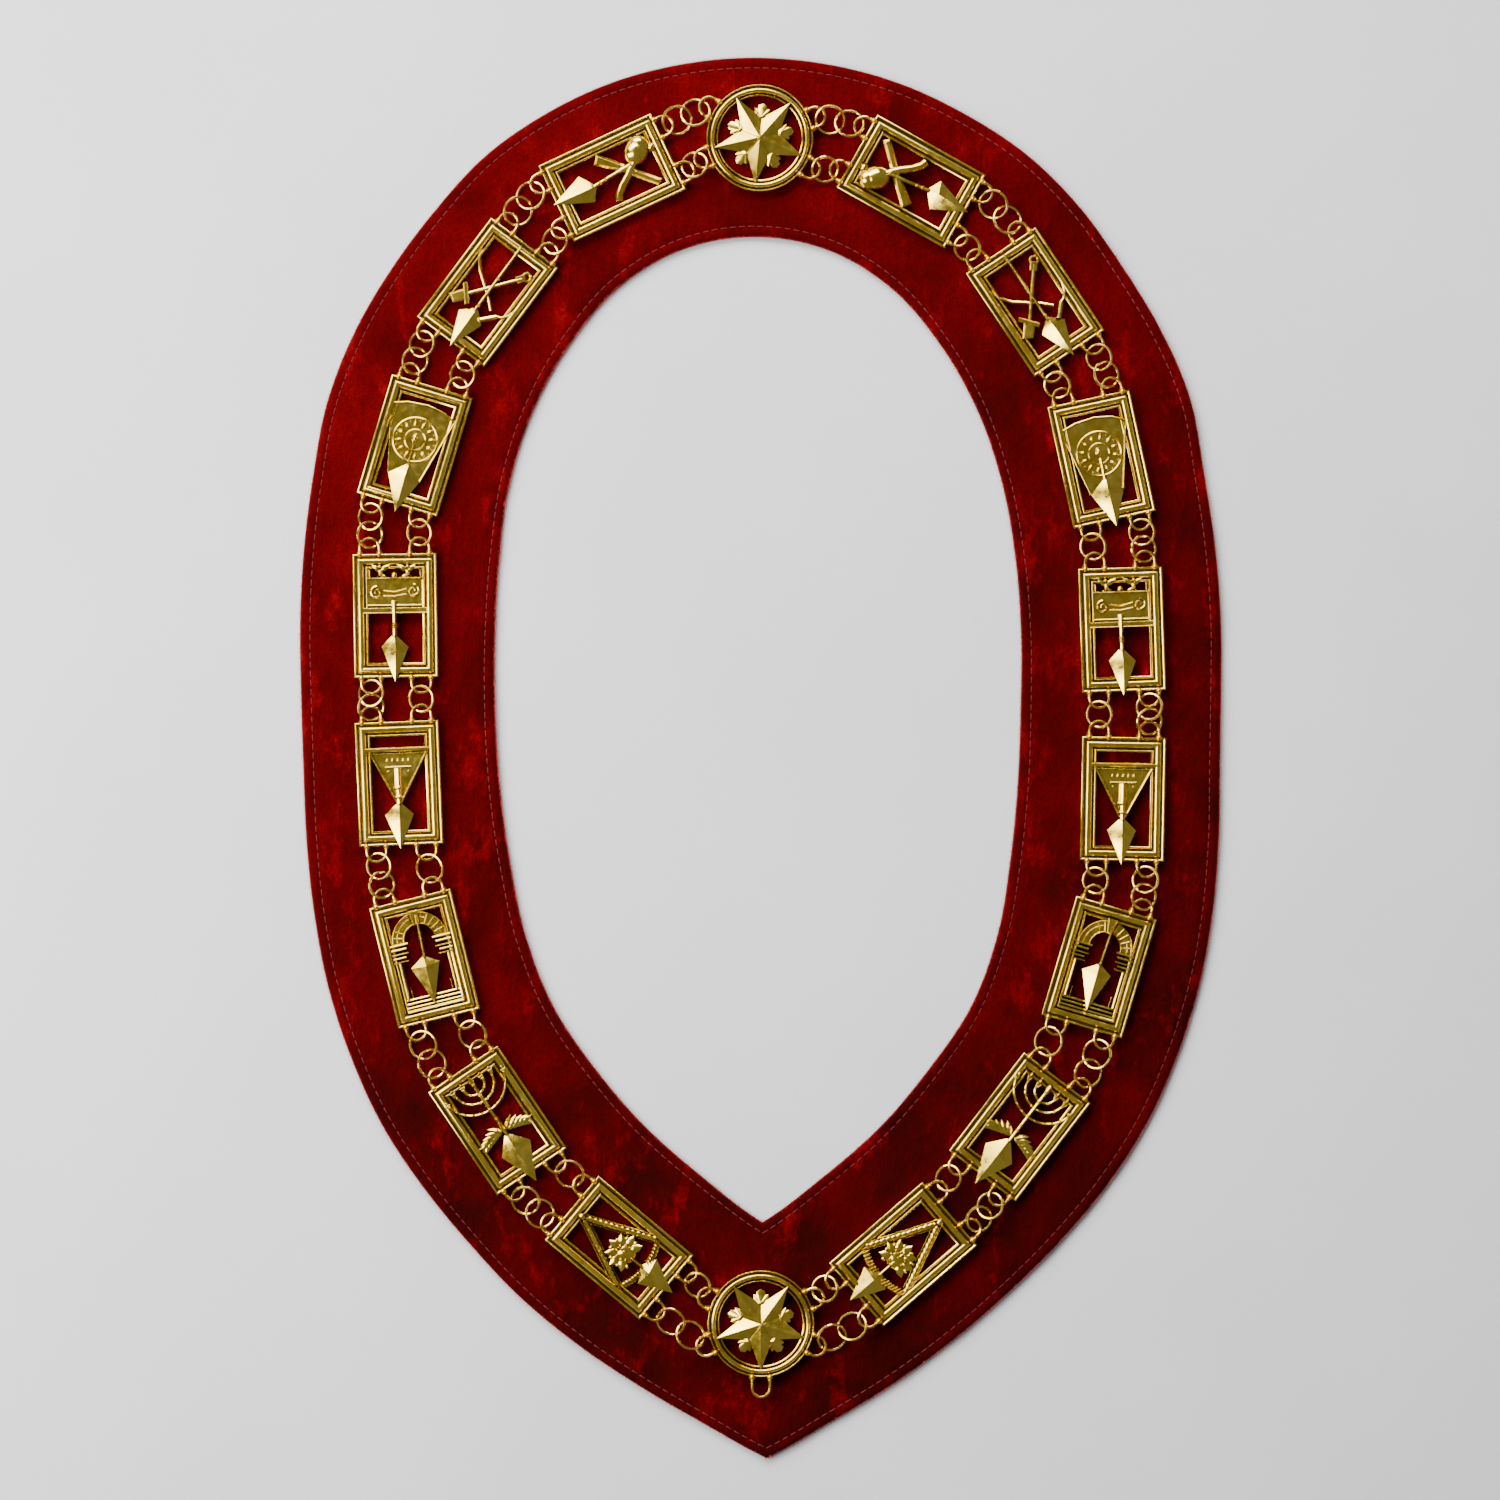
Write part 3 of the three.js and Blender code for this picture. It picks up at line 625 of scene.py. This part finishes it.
def triangle_emblem(casting):
    """A triangle standing on its point under a bar, over a trowel."""
    outline = [(-9.6, 10.9), (-0.8, -6.4), (0.6, -6.4), (9.9, 10.9)]
    casting.slab(outline, BACK, 2.1, 0.2)
    casting.bar([(-11.6, 11.5), (11.4, 11.5)], 1.5, BACK, 3.1, 0.35)
    casting.half_round([(-10.8, 10.2), (10.6, 10.2)], 0.6, 1.4, 2.8)
    casting.half_round([(-9.3, 10.2), (-0.9, -6.3)], 1.0, 1.4, 3.0)
    casting.half_round([(9.6, 10.2), (0.7, -6.3)], 1.0, 1.4, 3.0)
    casting.half_round([(-4.4, 5.6), (4.4, 5.6)], 0.7, 1.4, 2.8)
    for k in range(5):
        casting.dome((-3.6 + 1.8 * k, 7.9), (0.42, 0.6), 1.9, 2.6, 0, 8, 3)
    for k in (-1, 1):
        casting.dome((3.4 * k, 4.1), (0.4, 0.4), 1.9, 2.5, 0, 8, 3)
    handle(casting, (-0.1, 5.2), (-0.1, -7.0), 2.6, (0.55, 0.8))
    blade(casting, (-0.2, -6.0), (-5.1, -10.6), (4.6, -10.6), (-0.2, -22.2), (-0.1, -11.0))


def arch_emblem(casting):
    """An arch of stones on moulded columns over four steps, with a trowel hanging in it."""
    centre = (0.0, 6.8)
    casting.sweep(arc(centre, 7.3, -8, 188, 30), [(-2.1, BACK), (-2.1, 2.1), (2.1, 2.1), (2.1, BACK)])
    casting.half_round(arc(centre, 9.2, -8, 188, 30), 0.7, BACK, 2.8)
    casting.half_round(arc(centre, 5.4, -8, 188, 26), 0.7, BACK, 2.8)
    casting.half_round(arc(centre, 7.6, 0, 180, 26), 0.4, 1.5, 2.4)
    for k in range(11):
        angle = 15 + 15 * k
        casting.half_round([polar(5.6, angle, centre), polar(9.1, angle, centre)], 0.5, 1.5, 2.6)
    casting.slab([(-1.0, 11.8), (1.0, 11.8), (1.7, 16.9), (-1.7, 16.9)], BACK, 3.3, 0.35)
    mouldings = [(6.4, 3.1, 1.2), (4.9, 2.6, 1.3), (3.3, 2.9, 1.0), (2.0, 2.2, 1.1), (0.7, 2.6, 0.9)]
    for side in (-1, 1):
        for height, reach, thick in mouldings:
            middle = side * (9.6 - reach / 1.4)
            casting.half_round([(middle - reach, height), (middle + reach, height)], thick, BACK, 3.0)
        casting.half_round([(side * 8.4, 0.4), (side * 8.4, -12.2)], 1.5, BACK, 2.7)
        casting.half_round([(side * 6.9, -8.6), (side * 6.9, -12.2)], 0.5, BACK, 2.2)
    for step in range(4):
        y = -12.6 - 1.35 * step
        casting.half_round([(-9.6, y), (9.6, y)], 1.15, BACK, 2.3 + 0.2 * step)
    handle(casting, (0.7, 15.0), (0.1, 0.6), 1.3, (0.42, 0.56, 0.94))
    blade(casting, (-0.1, 1.2), (-5.3, -2.2), (4.7, -1.9), (0.0, -15.2), (-0.1, -2.6))


def lampstand_emblem(casting):
    """A seven-branched lampstand with leaves at its foot, over a trowel's blade."""
    centre = (0.0, 14.6)
    for radius, start in ((11.2, 192), (7.2, 186), (3.9, 180)):
        path = arc(centre, radius, start, 540 - start, 22)
        path = [(x, centre[1] + (y - centre[1]) * 0.92) for x, y in path]
        casting.half_round(path, 1.3, BACK, 3.3)
        casting.beads(path, 0.72, 3.1, 1.6, 3.6)
    for k in range(-3, 4):
        x = 3.75 * k
        height = 13.6 if abs(k) == 3 else 15.9
        stem = height - 1.6
        cup = [(x - 0.45, stem), (x + 0.45, stem), (x + 1.0, height), (x - 1.0, height)]
        casting.slab(cup, BACK, 3.3, 0.2)
        casting.dome((x, height + 0.7), (0.55, 1.0), 1.6, 3.4, 0, 8, 3)
    handle(casting, (0.0, 17.4), (0.0, -6.0), 1.7, (0.12, 0.3, 0.55, 0.72, 0.8))
    for side in (-1, 1):
        for k in range(5):
            foot = (side * (0.8 + 1.45 * k), -4.2 - 0.22 * k)
            casting.leaf(foot, 90 - side * (48 + 10 * k), 5.2 - 0.3 * k, 2.0, 1.0, 3.2)
            casting.leaf(foot, 90 - side * (92 + 8 * k), 4.4, 1.8, 0.9, 2.8)
    blade(casting, (-0.2, -4.8), (-5.8, -11.4), (5.6, -11.6), (-0.4, -24.4), (-0.3, -11.6))


def roped_emblem(casting):
    """A triangle of roped bars on a curved, grooved base, with an ornament of leaves, over a trowel."""
    middle = (-0.1, -2.4)
    for side in (-1, 1):
        foot, head = (11.7 * side, -8.1), (0.9 * side, 17.2)
        casting.half_round([foot, head], 0.7, BACK, 2.9)
        inner_foot, inner_head = (8.7 * side, -7.6), (-0.2 * side, 12.9)
        casting.half_round([inner_foot, inner_head], 0.5, BACK, 2.6)
        casting.sweep([(10.2 * side, -7.6), (0.4 * side, 15.2)],
                      [(-1.2, BACK), (-1.2, 1.9), (1.2, 1.9), (1.2, BACK)])
        casting.rope((10.2 * side, -7.6), (0.6 * side, 14.9), 1.05, 2.1)
        casting.half_round([(1.6 * side, -11.2), (6.0 * side, -10.4), (11.9 * side, -8.2)], 2.5, BACK, 2.4)
        for k in range(9):
            x = side * (2.1 + 1.15 * k)
            y = -11.0 + 0.0252 * x * x
            casting.half_round([(x - 0.35, y - 1.2), (x + 0.35, y + 1.2)], 0.6, 1.5, 3.0)
    casting.dome((0, 16.4), (1.5, 1.8), 1.2, 3.3)
    casting.dome((-0.1, -2.8), (4.0, 3.9), 1.2, 3.7, 0, 20, 6)
    for k in range(7):
        angle = 90 + 40 * (k - 3)
        casting.leaf(polar(1.8, angle, middle), angle, 4.9, 3.1, 1.2, 4.0)
        casting.dome(polar(4.9, angle + 20, middle), (1.15, 0.9), 1.2, 3.5, angle, 10, 4)
        casting.dome(polar(2.6, angle + 20, middle), (0.8, 0.6), 1.4, 4.1, angle, 10, 3)
    handle(casting, (-0.1, 1.6), (0.0, -10.6), 1.3, (0.3, 0.6))
    blade(casting, (0.0, -9.4), (-5.3, -12.8), (5.2, -12.2), (0.0, -23.8), (0.0, -13.2))


def ribbed_facet(casting, crest, valley, tip):
    """A face of a ray from its ridge down to its edge, cut across in fine ribs."""
    ribs, depth, notch = 13, 0.07, 0.012
    ridge_row, edge_row, foot_row = [], [], []
    for i in range(2 * ribs + 1):
        share = i / (2 * ribs)
        x, y, z = between(crest, tip, min(share, 0.998))
        beat = (1 if i % 2 else -1) * (1 - share)
        ridge_row.append((x, y, z + 0.3 * depth * beat))
        outward = 1.0 + notch * beat
        x, y, z = between(valley, tip, min(share, 0.996))
        edge_row.append((x * outward, y * outward, z + depth * beat))
        foot_row.append((x * outward, y * outward, BACK))
    count = len(ridge_row)
    faces = []
    for i in range(count - 1):
        faces.append((i, i + 1, count + i + 1, count + i))
        faces.append((count + i, count + i + 1, 2 * count + i + 1, 2 * count + i))
    casting.add(ridge_row + edge_row + foot_row, faces)


def star_emblem(casting):
    """Five long ribbed rays, one of them pointing down, over five short leafy ones."""
    steps = [(6.6, 30), (8.9, 22), (8.8, 16.5), (10.2, 14.5), (9.9, 9), (11.1, 7)]
    for point in range(5):
        main, small = 270 + 72 * point, 90 + 72 * point
        for side in (-1, 1):
            valley = (*polar(6.7, main + 36 * side), 2.3)
            ribbed_facet(casting, (0, 0, 5.0), valley, (*polar(15.7, main), 3.5))
        right = [polar(radius, small - spread) for radius, spread in steps]
        left = [polar(radius, small + spread) for radius, spread in steps[::-1]]
        casting.pyramid(right + [polar(11.7, small)] + left, BACK, 1.8, polar(7.2, small), 3.1)


EMBLEMS = (mallet_emblem, hammer_emblem, keystone_emblem, chest_emblem,
           triangle_emblem, arch_emblem, lampstand_emblem, roped_emblem)


# ---- places, read from the solids


def node_points(name):
    """The points of a solid, in millimetres."""
    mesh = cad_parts[name].data
    points = np.zeros(len(mesh.vertices) * 3, np.float32)
    mesh.vertices.foreach_get("co", points)
    return points.reshape(-1, 3).astype(float) / MM


def oblong_place(name):
    """Where an oblong plate lies: from the corners of its underside, its head towards the nape."""
    points = node_points(name)
    back = points[:, 2].min()
    spots = points[points[:, 2] < back + FLAT][:, :2]
    centre = (spots.max(0) + spots.min(0)) / 2
    reach = np.linalg.norm(spots - centre, axis=1)
    spots = spots[reach > reach.max() - 0.5]
    order = np.argsort(np.arctan2(spots[:, 1] - centre[1], spots[:, 0] - centre[0]))
    spots = spots[order]
    corners = [spots[0]]
    for spot in spots[1:]:
        if np.linalg.norm(spot - corners[-1]) > 1:
            corners.append(spot)
    heads = []
    for a, b in zip(corners, corners[1:] + corners[:1]):
        if np.linalg.norm(a - b) < 2 * HALF_WIDTH + 2:
            heads.append((a + b) / 2 - centre)
    head = max(heads, key=lambda way: way[1])
    return place_at(centre[0], centre[1], back, math.degrees(math.atan2(head[1], head[0])) - 90)


def star_place(name):
    """Where a round plate lies: the middle of its underside, turned as in the solids."""
    points = node_points(name)
    back = points[:, 2].min()
    rim = points[points[:, 2] < back + FLAT]
    middle = (rim.max(0) + rim.min(0)) / 2
    return place_at(middle[0], middle[1], back, STAR_TURNS[name])


def place_at(x, y, z, turn):
    return Matrix.Translation((x, y, z)) @ Matrix.Rotation(math.radians(turn), 4, "Z")


def loop_places(name):
    """The loops of a plate: strand and end to (x, y, turn)."""
    if name in STAR_TURNS:
        outer, inner = STAR_ANGLES[name]
        angles = {("right", "outer"): outer, ("right", "inner"): inner,
                  ("left", "outer"): 180 - outer, ("left", "inner"): 180 - inner}
        return {key: (*polar(STAR_RADIUS, angle), angle - 90) for key, angle in angles.items()}
    outer = -LOOP_SPREAD if "left" in name else LOOP_SPREAD
    return {("head", "outer"): (outer, HALF_LENGTH, 0), ("head", "inner"): (-outer, HALF_LENGTH, 0),
            ("foot", "outer"): (outer, -HALF_LENGTH, 180), ("foot", "inner"): (-outer, -HALF_LENGTH, 180)}


def bow_centre(place, loop):
    """The middle of a loop's round end."""
    x, y, turn = loop
    out = Matrix.Rotation(math.radians(turn), 4, "Z") @ Vector((0, LOOP_REACH - LOOP_HALF_WIDTH, 0))
    return place @ (out + Vector((x, y, LOOP_HEIGHT)))


def inner_ring_place(upper_bow, lower_bow):
    """The jump ring that joins two loops of the inner strand, and its radius."""
    along = lower_bow - upper_bow
    slack = along.length - 2 * LOOP_HALF_WIDTH
    radius = WIDE_RING_RADIUS if slack > WIDE_SLACK else RING_RADIUS
    along.normalize()
    across = Vector((0, 0, 1)).cross(along)
    apart = LOOP_HALF_WIDTH + slack / 2
    meet = min((apart ** 2 + radius ** 2 - LOOP_HALF_WIDTH ** 2) / (2 * apart), radius)
    side_slope = CLEARANCE / (math.sqrt(radius ** 2 - meet ** 2) - CHORD)
    lift = (CLEARANCE - SOLDERED) / 2
    normal = (Vector((0, 0, 1)) + along * (lift / meet) - across * side_slope).normalized()
    centre = (upper_bow + lower_bow) / 2 + Vector((0, 0, lift))
    return centre, normal, radius


def outer_ring_place(name):
    """Where a free jump ring lies: the middle, axis and size of its solid."""
    points = node_points(name)
    centre = points.mean(0)
    _, _, axes = np.linalg.svd(points - centre)
    normal = Vector(axes[2])
    if normal.z < 0:
        normal.negate()
    flat = points - centre
    flat = flat - np.outer(flat @ np.array(normal), np.array(normal))
    return Vector(centre), normal, float(np.linalg.norm(flat, axis=1).mean())


# ---- the chain


def add_piece(name, mesh, material, place=None, nodes=()):
    """A mesh as a piece of the object, standing for these nodes of the frame."""
    piece = bpy.data.objects.new(name, mesh)
    bpy.context.scene.collection.objects.link(piece)
    if place is not None:
        shift = place.translation * MM
        piece.matrix_world = Matrix.Translation(shift) @ place.to_quaternion().to_matrix().to_4x4()
    if not mesh.materials:
        mesh.materials.append(material)
    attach(piece, "root")
    if nodes:
        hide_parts(*nodes)
    return piece


def wire_loop(casting, x, y, turn, half_width=LOOP_HALF_WIDTH, reach=LOOP_REACH):
    """A loop of wire that stands out of a plate's edge."""
    straight = reach - half_width
    path = [(-half_width, -LOOP_SUNK), (-half_width, straight * 0.5)]
    path += arc((0, straight), half_width, 180, 0, 14)
    path += [(half_width, straight * 0.5), (half_width, -LOOP_SUNK)]
    place = place_at(x, y, LOOP_HEIGHT, turn)
    casting.tube([place @ Vector((*point, 0)) for point in path], LOOP_WIRE, 10)


def solder_feet(casting, x, y, turn, half_width=LOOP_HALF_WIDTH):
    """The drops of solder that hold a loop's two ends."""
    for side in (-1, 1):
        foot = turned((side * half_width, -0.1), turn, (x, y))
        casting.dome(foot, (1.15, 1.35), 1.2, 3.35, turn, 12, 4)
        crept = turned((side * half_width, 0.9), turn, (x, y))
        casting.dome(crept, (0.7, 0.9), 1.6, 3.1, turn, 10, 3)


def fittings(name, place):
    """A plate's loops and their solder; the lower star has the bail too."""
    wires, solder = Casting(), Casting()
    for x, y, turn in loop_places(name).values():
        wire_loop(wires, x, y, turn)
        solder_feet(solder, x, y, turn)
    if name == "star_plate_bottom":
        wire_loop(wires, 0, -STAR_RADIUS, 180, BAIL_HALF_WIDTH, BAIL_REACH)
        solder_feet(solder, 0, -STAR_RADIUS, 180, BAIL_HALF_WIDTH)
    add_piece(f"loops_{name}", wires.mesh(f"loops_{name}"), WIRE, place)
    add_piece(f"solder_{name}", solder.mesh(f"solder_{name}"), SOLDER, place)


def oblong_plates():
    """The oblong plates of both sides; each pair is one casting."""
    places = {}
    for number, emblem in enumerate(EMBLEMS, 1):
        casting = Casting()
        oblong_frame(casting)
        emblem(casting)
        mesh = casting.mesh(f"casting_{number}")
        for side in SIDES:
            name = f"plate_{side}_{number}"
            places[name] = oblong_place(name)
            add_piece(f"cast_{name}", mesh, GILT, places[name], [name])
            fittings(name, places[name])
    return places


def star_plates():
    """The two round plates, of one casting."""
    places = {}
    casting = Casting()
    round_frame(casting)
    star_emblem(casting)
    mesh = casting.mesh("casting_star")
    for name in STAR_TURNS:
        places[name] = star_place(name)
        add_piece(f"cast_{name}", mesh, GILT, places[name], [name])
        fittings(name, places[name])
    return places


def jump_ring(name, centre, normal, radius, nodes=()):
    """A ring of round wire whose cut ends nearly meet."""
    casting = Casting()
    wire = arc((0, 0), radius, RING_CUT, 360 - RING_CUT, 40)
    casting.tube([(*point, 0.12 * (k / 40 - 0.5)) for k, point in enumerate(wire)], RING_WIRE, 8)
    turn = Vector((0, 0, 1)).rotation_difference(normal)
    spin = Quaternion((0, 0, 1), sum(name.encode()) % 7)
    place = Matrix.Translation(centre) @ (turn @ spin).to_matrix().to_4x4()
    mesh = casting.mesh(name)
    mesh.transform(Matrix.Scale(MM, 4) @ place @ Matrix.Scale(1 / MM, 4))
    add_piece(name, mesh, WIRE, nodes=nodes)


def jump_rings(places):
    """Two free rings a gap on the outer strands, and one a gap on the inner ones."""
    for side in SIDES:
        chain = ["star_plate_top"] + [f"plate_{side}_{n}" for n in range(1, PLATES_A_SIDE + 1)]
        chain.append("star_plate_bottom")
        for gap, (upper, lower) in enumerate(zip(chain, chain[1:]), 1):
            for letter in "ab":
                node = f"ring_{side}_{gap}_{letter}"
                jump_ring(f"wire_{node}", *outer_ring_place(node), [node])
            upper_loop = loop_places(upper)[(side if upper in STAR_TURNS else "foot", "inner")]
            lower_loop = loop_places(lower)[(side if lower in STAR_TURNS else "head", "inner")]
            bows = bow_centre(places[upper], upper_loop), bow_centre(places[lower], lower_loop)
            jump_ring(f"wire_inner_ring_{side}_{gap}", *inner_ring_place(*bows))


# ---- the collar


def outline_loops():
    """The collar's outer and inner edge, as closed rows of points in order."""
    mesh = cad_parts["velvet_collar"].data
    spots = {}
    for vertex in mesh.vertices:
        x, y, z = (length / MM for length in vertex.co)
        if WALL_LOW < z < WALL_HIGH:
            spots[vertex.index] = (round(x, 3), round(y, 3))
    links = {}
    for edge in mesh.edges:
        a, b = edge.vertices
        if a in spots and b in spots and spots[a] != spots[b]:
            links.setdefault(spots[a], set()).add(spots[b])
            links.setdefault(spots[b], set()).add(spots[a])
    loops = []
    unused = set(links)
    while unused:
        start = max(unused, key=lambda spot: spot[1])
        loop, here, before = [start], start, None
        unused.discard(start)
        while True:
            ways = [spot for spot in links[here] if spot != before and (spot in unused or spot == start)]
            if not ways or ways[0] == start and len(loop) > 2:
                break
            ways = [spot for spot in ways if spot in unused]
            before, here = here, min(ways, key=lambda spot: math.dist(spot, here))
            loop.append(here)
            unused.discard(here)
        if len(loop) > 8:
            loops.append(loop)
    loops.sort(key=lambda loop: -max(math.hypot(*p) for p in loop))
    return [loop if area_of(loop) > 0 else loop[::-1] for loop in loops[:2]]


def edge_by_angle(loop):
    """How far an edge is from the middle at each angle from its lowest point."""
    low = min(range(len(loop)), key=lambda i: loop[i][1])
    loop = loop[low:] + loop[:low]
    tip = math.atan2(loop[0][1], loop[0][0])
    angles, reaches = [], []
    for x, y in loop + [loop[0]]:
        angle = (math.atan2(y, x) - tip) % (2 * math.pi)
        if angles and angle < angles[-1]:
            angle = 2 * math.pi
        angles.append(angle)
        reaches.append(math.hypot(x, y))
    return tip, np.array(angles), np.array(reaches)


def smooth_edge(loop, steps):
    """The edge at even angles, as one smooth curve but for its lowest point."""
    tip, angles, reaches = edge_by_angle(loop)
    wanted = np.linspace(0, 2 * math.pi, steps, endpoint=False)
    last = len(angles) - 1
    reach = np.zeros(steps)
    for i, angle in enumerate(wanted):
        k = int(np.searchsorted(angles, angle, side="right")) - 1
        k = min(max(k, 0), last - 1)
        before, after = max(k - 1, 0), min(k + 2, last)
        width = angles[k + 1] - angles[k]
        slope_in = (reaches[k + 1] - reaches[before]) / max(angles[k + 1] - angles[before], 1e-6)
        slope_out = (reaches[after] - reaches[k]) / max(angles[after] - angles[k], 1e-6)
        share = (angle - angles[k]) / width
        square, cube = share ** 2, share ** 3
        reach[i] = (2 * cube - 3 * square + 1) * reaches[k] + (3 * square - 2 * cube) * reaches[k + 1]
        reach[i] += width * ((cube - 2 * square + share) * slope_in + (cube - square) * slope_out)
    directions = wanted + tip
    return np.stack([reach * np.cos(directions), reach * np.sin(directions)], 1)


def collar_section():
    """Across the band from its outer to its inner edge: (share of the width, inset in mm, height)."""
    thick = COLLAR_THICK
    edge = [(0.5, 0.0), (0.1, 0.35), (0.0, 0.9), (0.12, 1.6), (0.45, thick - 0.45), (1.0, thick - 0.12)]
    edge += [(1.8, thick), (2.8, thick - 0.04), (HEM - 0.4, thick - 0.2), (HEM, thick - 0.4)]
    edge += [(HEM + 0.4, thick - 0.2), (HEM + 1.2, thick - 0.04)]
    rows = [(0, step, height) for step, height in edge]
    rows += [(share / 34, 0, thick) for share in range(3, 32)]
    rows += [(1, -step, height) for step, height in edge[::-1]]
    return rows


def velvet_sheet():
    """The collar with its edges, its direction across at each step, and its flat size and area."""
    outer_loop, inner_loop = outline_loops()
    outer = smooth_edge(outer_loop, COLLAR_STEPS)
    inner = smooth_edge(inner_loop, COLLAR_STEPS)
    across = inner - outer
    width = np.linalg.norm(across, axis=1)[:, None]
    across = across / width
    rows = []
    for share, step, height in collar_section():
        spots = outer + across * (share * width + step)
        waves = 0.0
        if height > 2.0:
            waves = 0.09 * np.sin(spots[:, :1] / 7.3) * np.cos(spots[:, 1:] / 9.1)
            waves = waves + 0.06 * np.sin(spots[:, 1:] / 4.1 + spots[:, :1] / 5.7) - 0.12
        rows.append(np.hstack([spots, np.full((COLLAR_STEPS, 1), height) + waves]))
    mesh = new_mesh("velvet_band", np.concatenate(rows), skin_faces(len(rows), COLLAR_STEPS, True))
    face_out(mesh)
    piece = add_piece("velvet_band", mesh, VELVET, nodes=["velvet_collar"])
    outer_area = abs(area_of([tuple(p) for p in outer]))
    inner_area = abs(area_of([tuple(p) for p in inner]))
    flat = (np.ptp(outer[:, 0]) * MM, np.ptp(outer[:, 1]) * MM)
    return piece, outer, inner, across, flat, (outer_area - inner_area) * MM * MM


def stitches(name, edge, inward):
    """A row of machine stitches along the hem."""
    path = edge + inward * HEM
    steps = np.linalg.norm(np.roll(path, -1, 0) - path, axis=1)
    reach = np.concatenate([[0], np.cumsum(steps)])
    count = int(reach[-1] / STITCH_PITCH)
    casting = Casting()
    closed = np.vstack([path, path[:1]])
    for k in range(count):
        start = k * reach[-1] / count
        points = []
        for share, height in ((0, 2.0), (0.15, 2.25), (0.5, 2.36), (0.85, 2.25), (1, 2.0)):
            along = start + STITCH_LENGTH * share
            spot = [np.interp(along, reach, closed[:, axis]) for axis in (0, 1)]
            points.append((*spot, height))
        casting.tube(points, STITCH_THREAD, 5)
    return add_piece(name, casting.mesh(name), THREAD)


def fringe(edges):
    """The tips of the pile that stand out past the collar's edges."""
    draw = random.Random(7)
    points, faces = [], []
    for edge, inward in edges:
        for spot, way in zip(edge, inward):
            for _ in range(TIPS_A_STEP):
                slide = draw.uniform(-0.8, 0.8)
                height = draw.uniform(0.5, 2.4)
                x = spot[0] - way[1] * slide + way[0] * 0.35
                y = spot[1] + way[0] * slide + way[1] * 0.35
                root = Vector((x, y, height))
                out = Vector((-way[0], -way[1], draw.uniform(-0.15, 0.6)))
                out += Vector((draw.uniform(-0.5, 0.5), draw.uniform(-0.5, 0.5), 0))
                tip = root + out.normalized() * draw.uniform(0.6, 1.15)
                aside = Vector((-way[1], way[0], 0)) * 0.07
                start = len(points)
                points += [root - aside, root + aside, tip]
                faces.append((start, start + 1, start + 2))
    return add_piece("pile_fringe", new_mesh("pile_fringe", points, faces), FRINGE)


def velvet_collar():
    """The velvet, its hem and its loose pile."""
    piece, outer, inner, across, flat, area = velvet_sheet()
    outer_row = stitches("hem_stitches_outer", outer, across)
    inner_row = stitches("hem_stitches_inner", inner, -across)
    fringe_piece = fringe([(outer, across), (inner, -across)])


# ---- the studio


def floor():
    bpy.ops.mesh.primitive_plane_add(size=6, location=(0, 0, 0))
    plane = bpy.context.object
    plane.name = "floor"
    plane.data.materials.append(floor_material())


def area_light(name, location, size, power, colour):
    """A soft light that faces the middle of the collar."""
    data = bpy.data.lights.new(name, "AREA")
    data.shape = "RECTANGLE"
    data.size, data.size_y = size
    data.energy = power
    data.color = colour
    light = bpy.data.objects.new(name, data)
    bpy.context.scene.collection.objects.link(light)
    light.location = location
    light.rotation_euler = (-light.location).to_track_quat("-Z", "Y").to_euler()


def studio():
    """Even surroundings, a wide window with a bright pane beyond the nape, and a small light at the left."""
    world = bpy.data.worlds.new("studio")
    bpy.context.scene.world = world
    world.use_nodes = True
    background = world.node_tree.nodes["Background"]
    background.inputs["Color"].default_value = (0.96, 0.98, 1.0, 1.0)
    background.inputs["Strength"].default_value = 0.19
    area_light("window", (-0.62, 1.25, 0.95), (2.1, 1.0), 58, (1.0, 0.99, 0.98))
    area_light("left", (-0.68, -0.05, 0.62), (0.35, 0.7), 10, (1.0, 0.99, 0.98))
    area_light("pane", (-0.3, 0.95, 0.8), (1.3, 0.08), 9, (1.0, 1.0, 1.0))


def camera():
    data = bpy.data.cameras.new("camera")
    data.lens = SENSOR_WIDTH * CAMERA_HEIGHT / VIEW_WIDTH
    data.sensor_width = SENSOR_WIDTH
    data.clip_end = 20
    shot = bpy.data.objects.new("camera", data)
    bpy.context.scene.collection.objects.link(shot)
    shot.location = (*VIEW_MIDDLE, CAMERA_HEIGHT)
    bpy.context.scene.camera = shot


camera()
floor()
studio()
velvet_collar()
places = {**star_plates(), **oblong_plates()}
jump_rings(places)
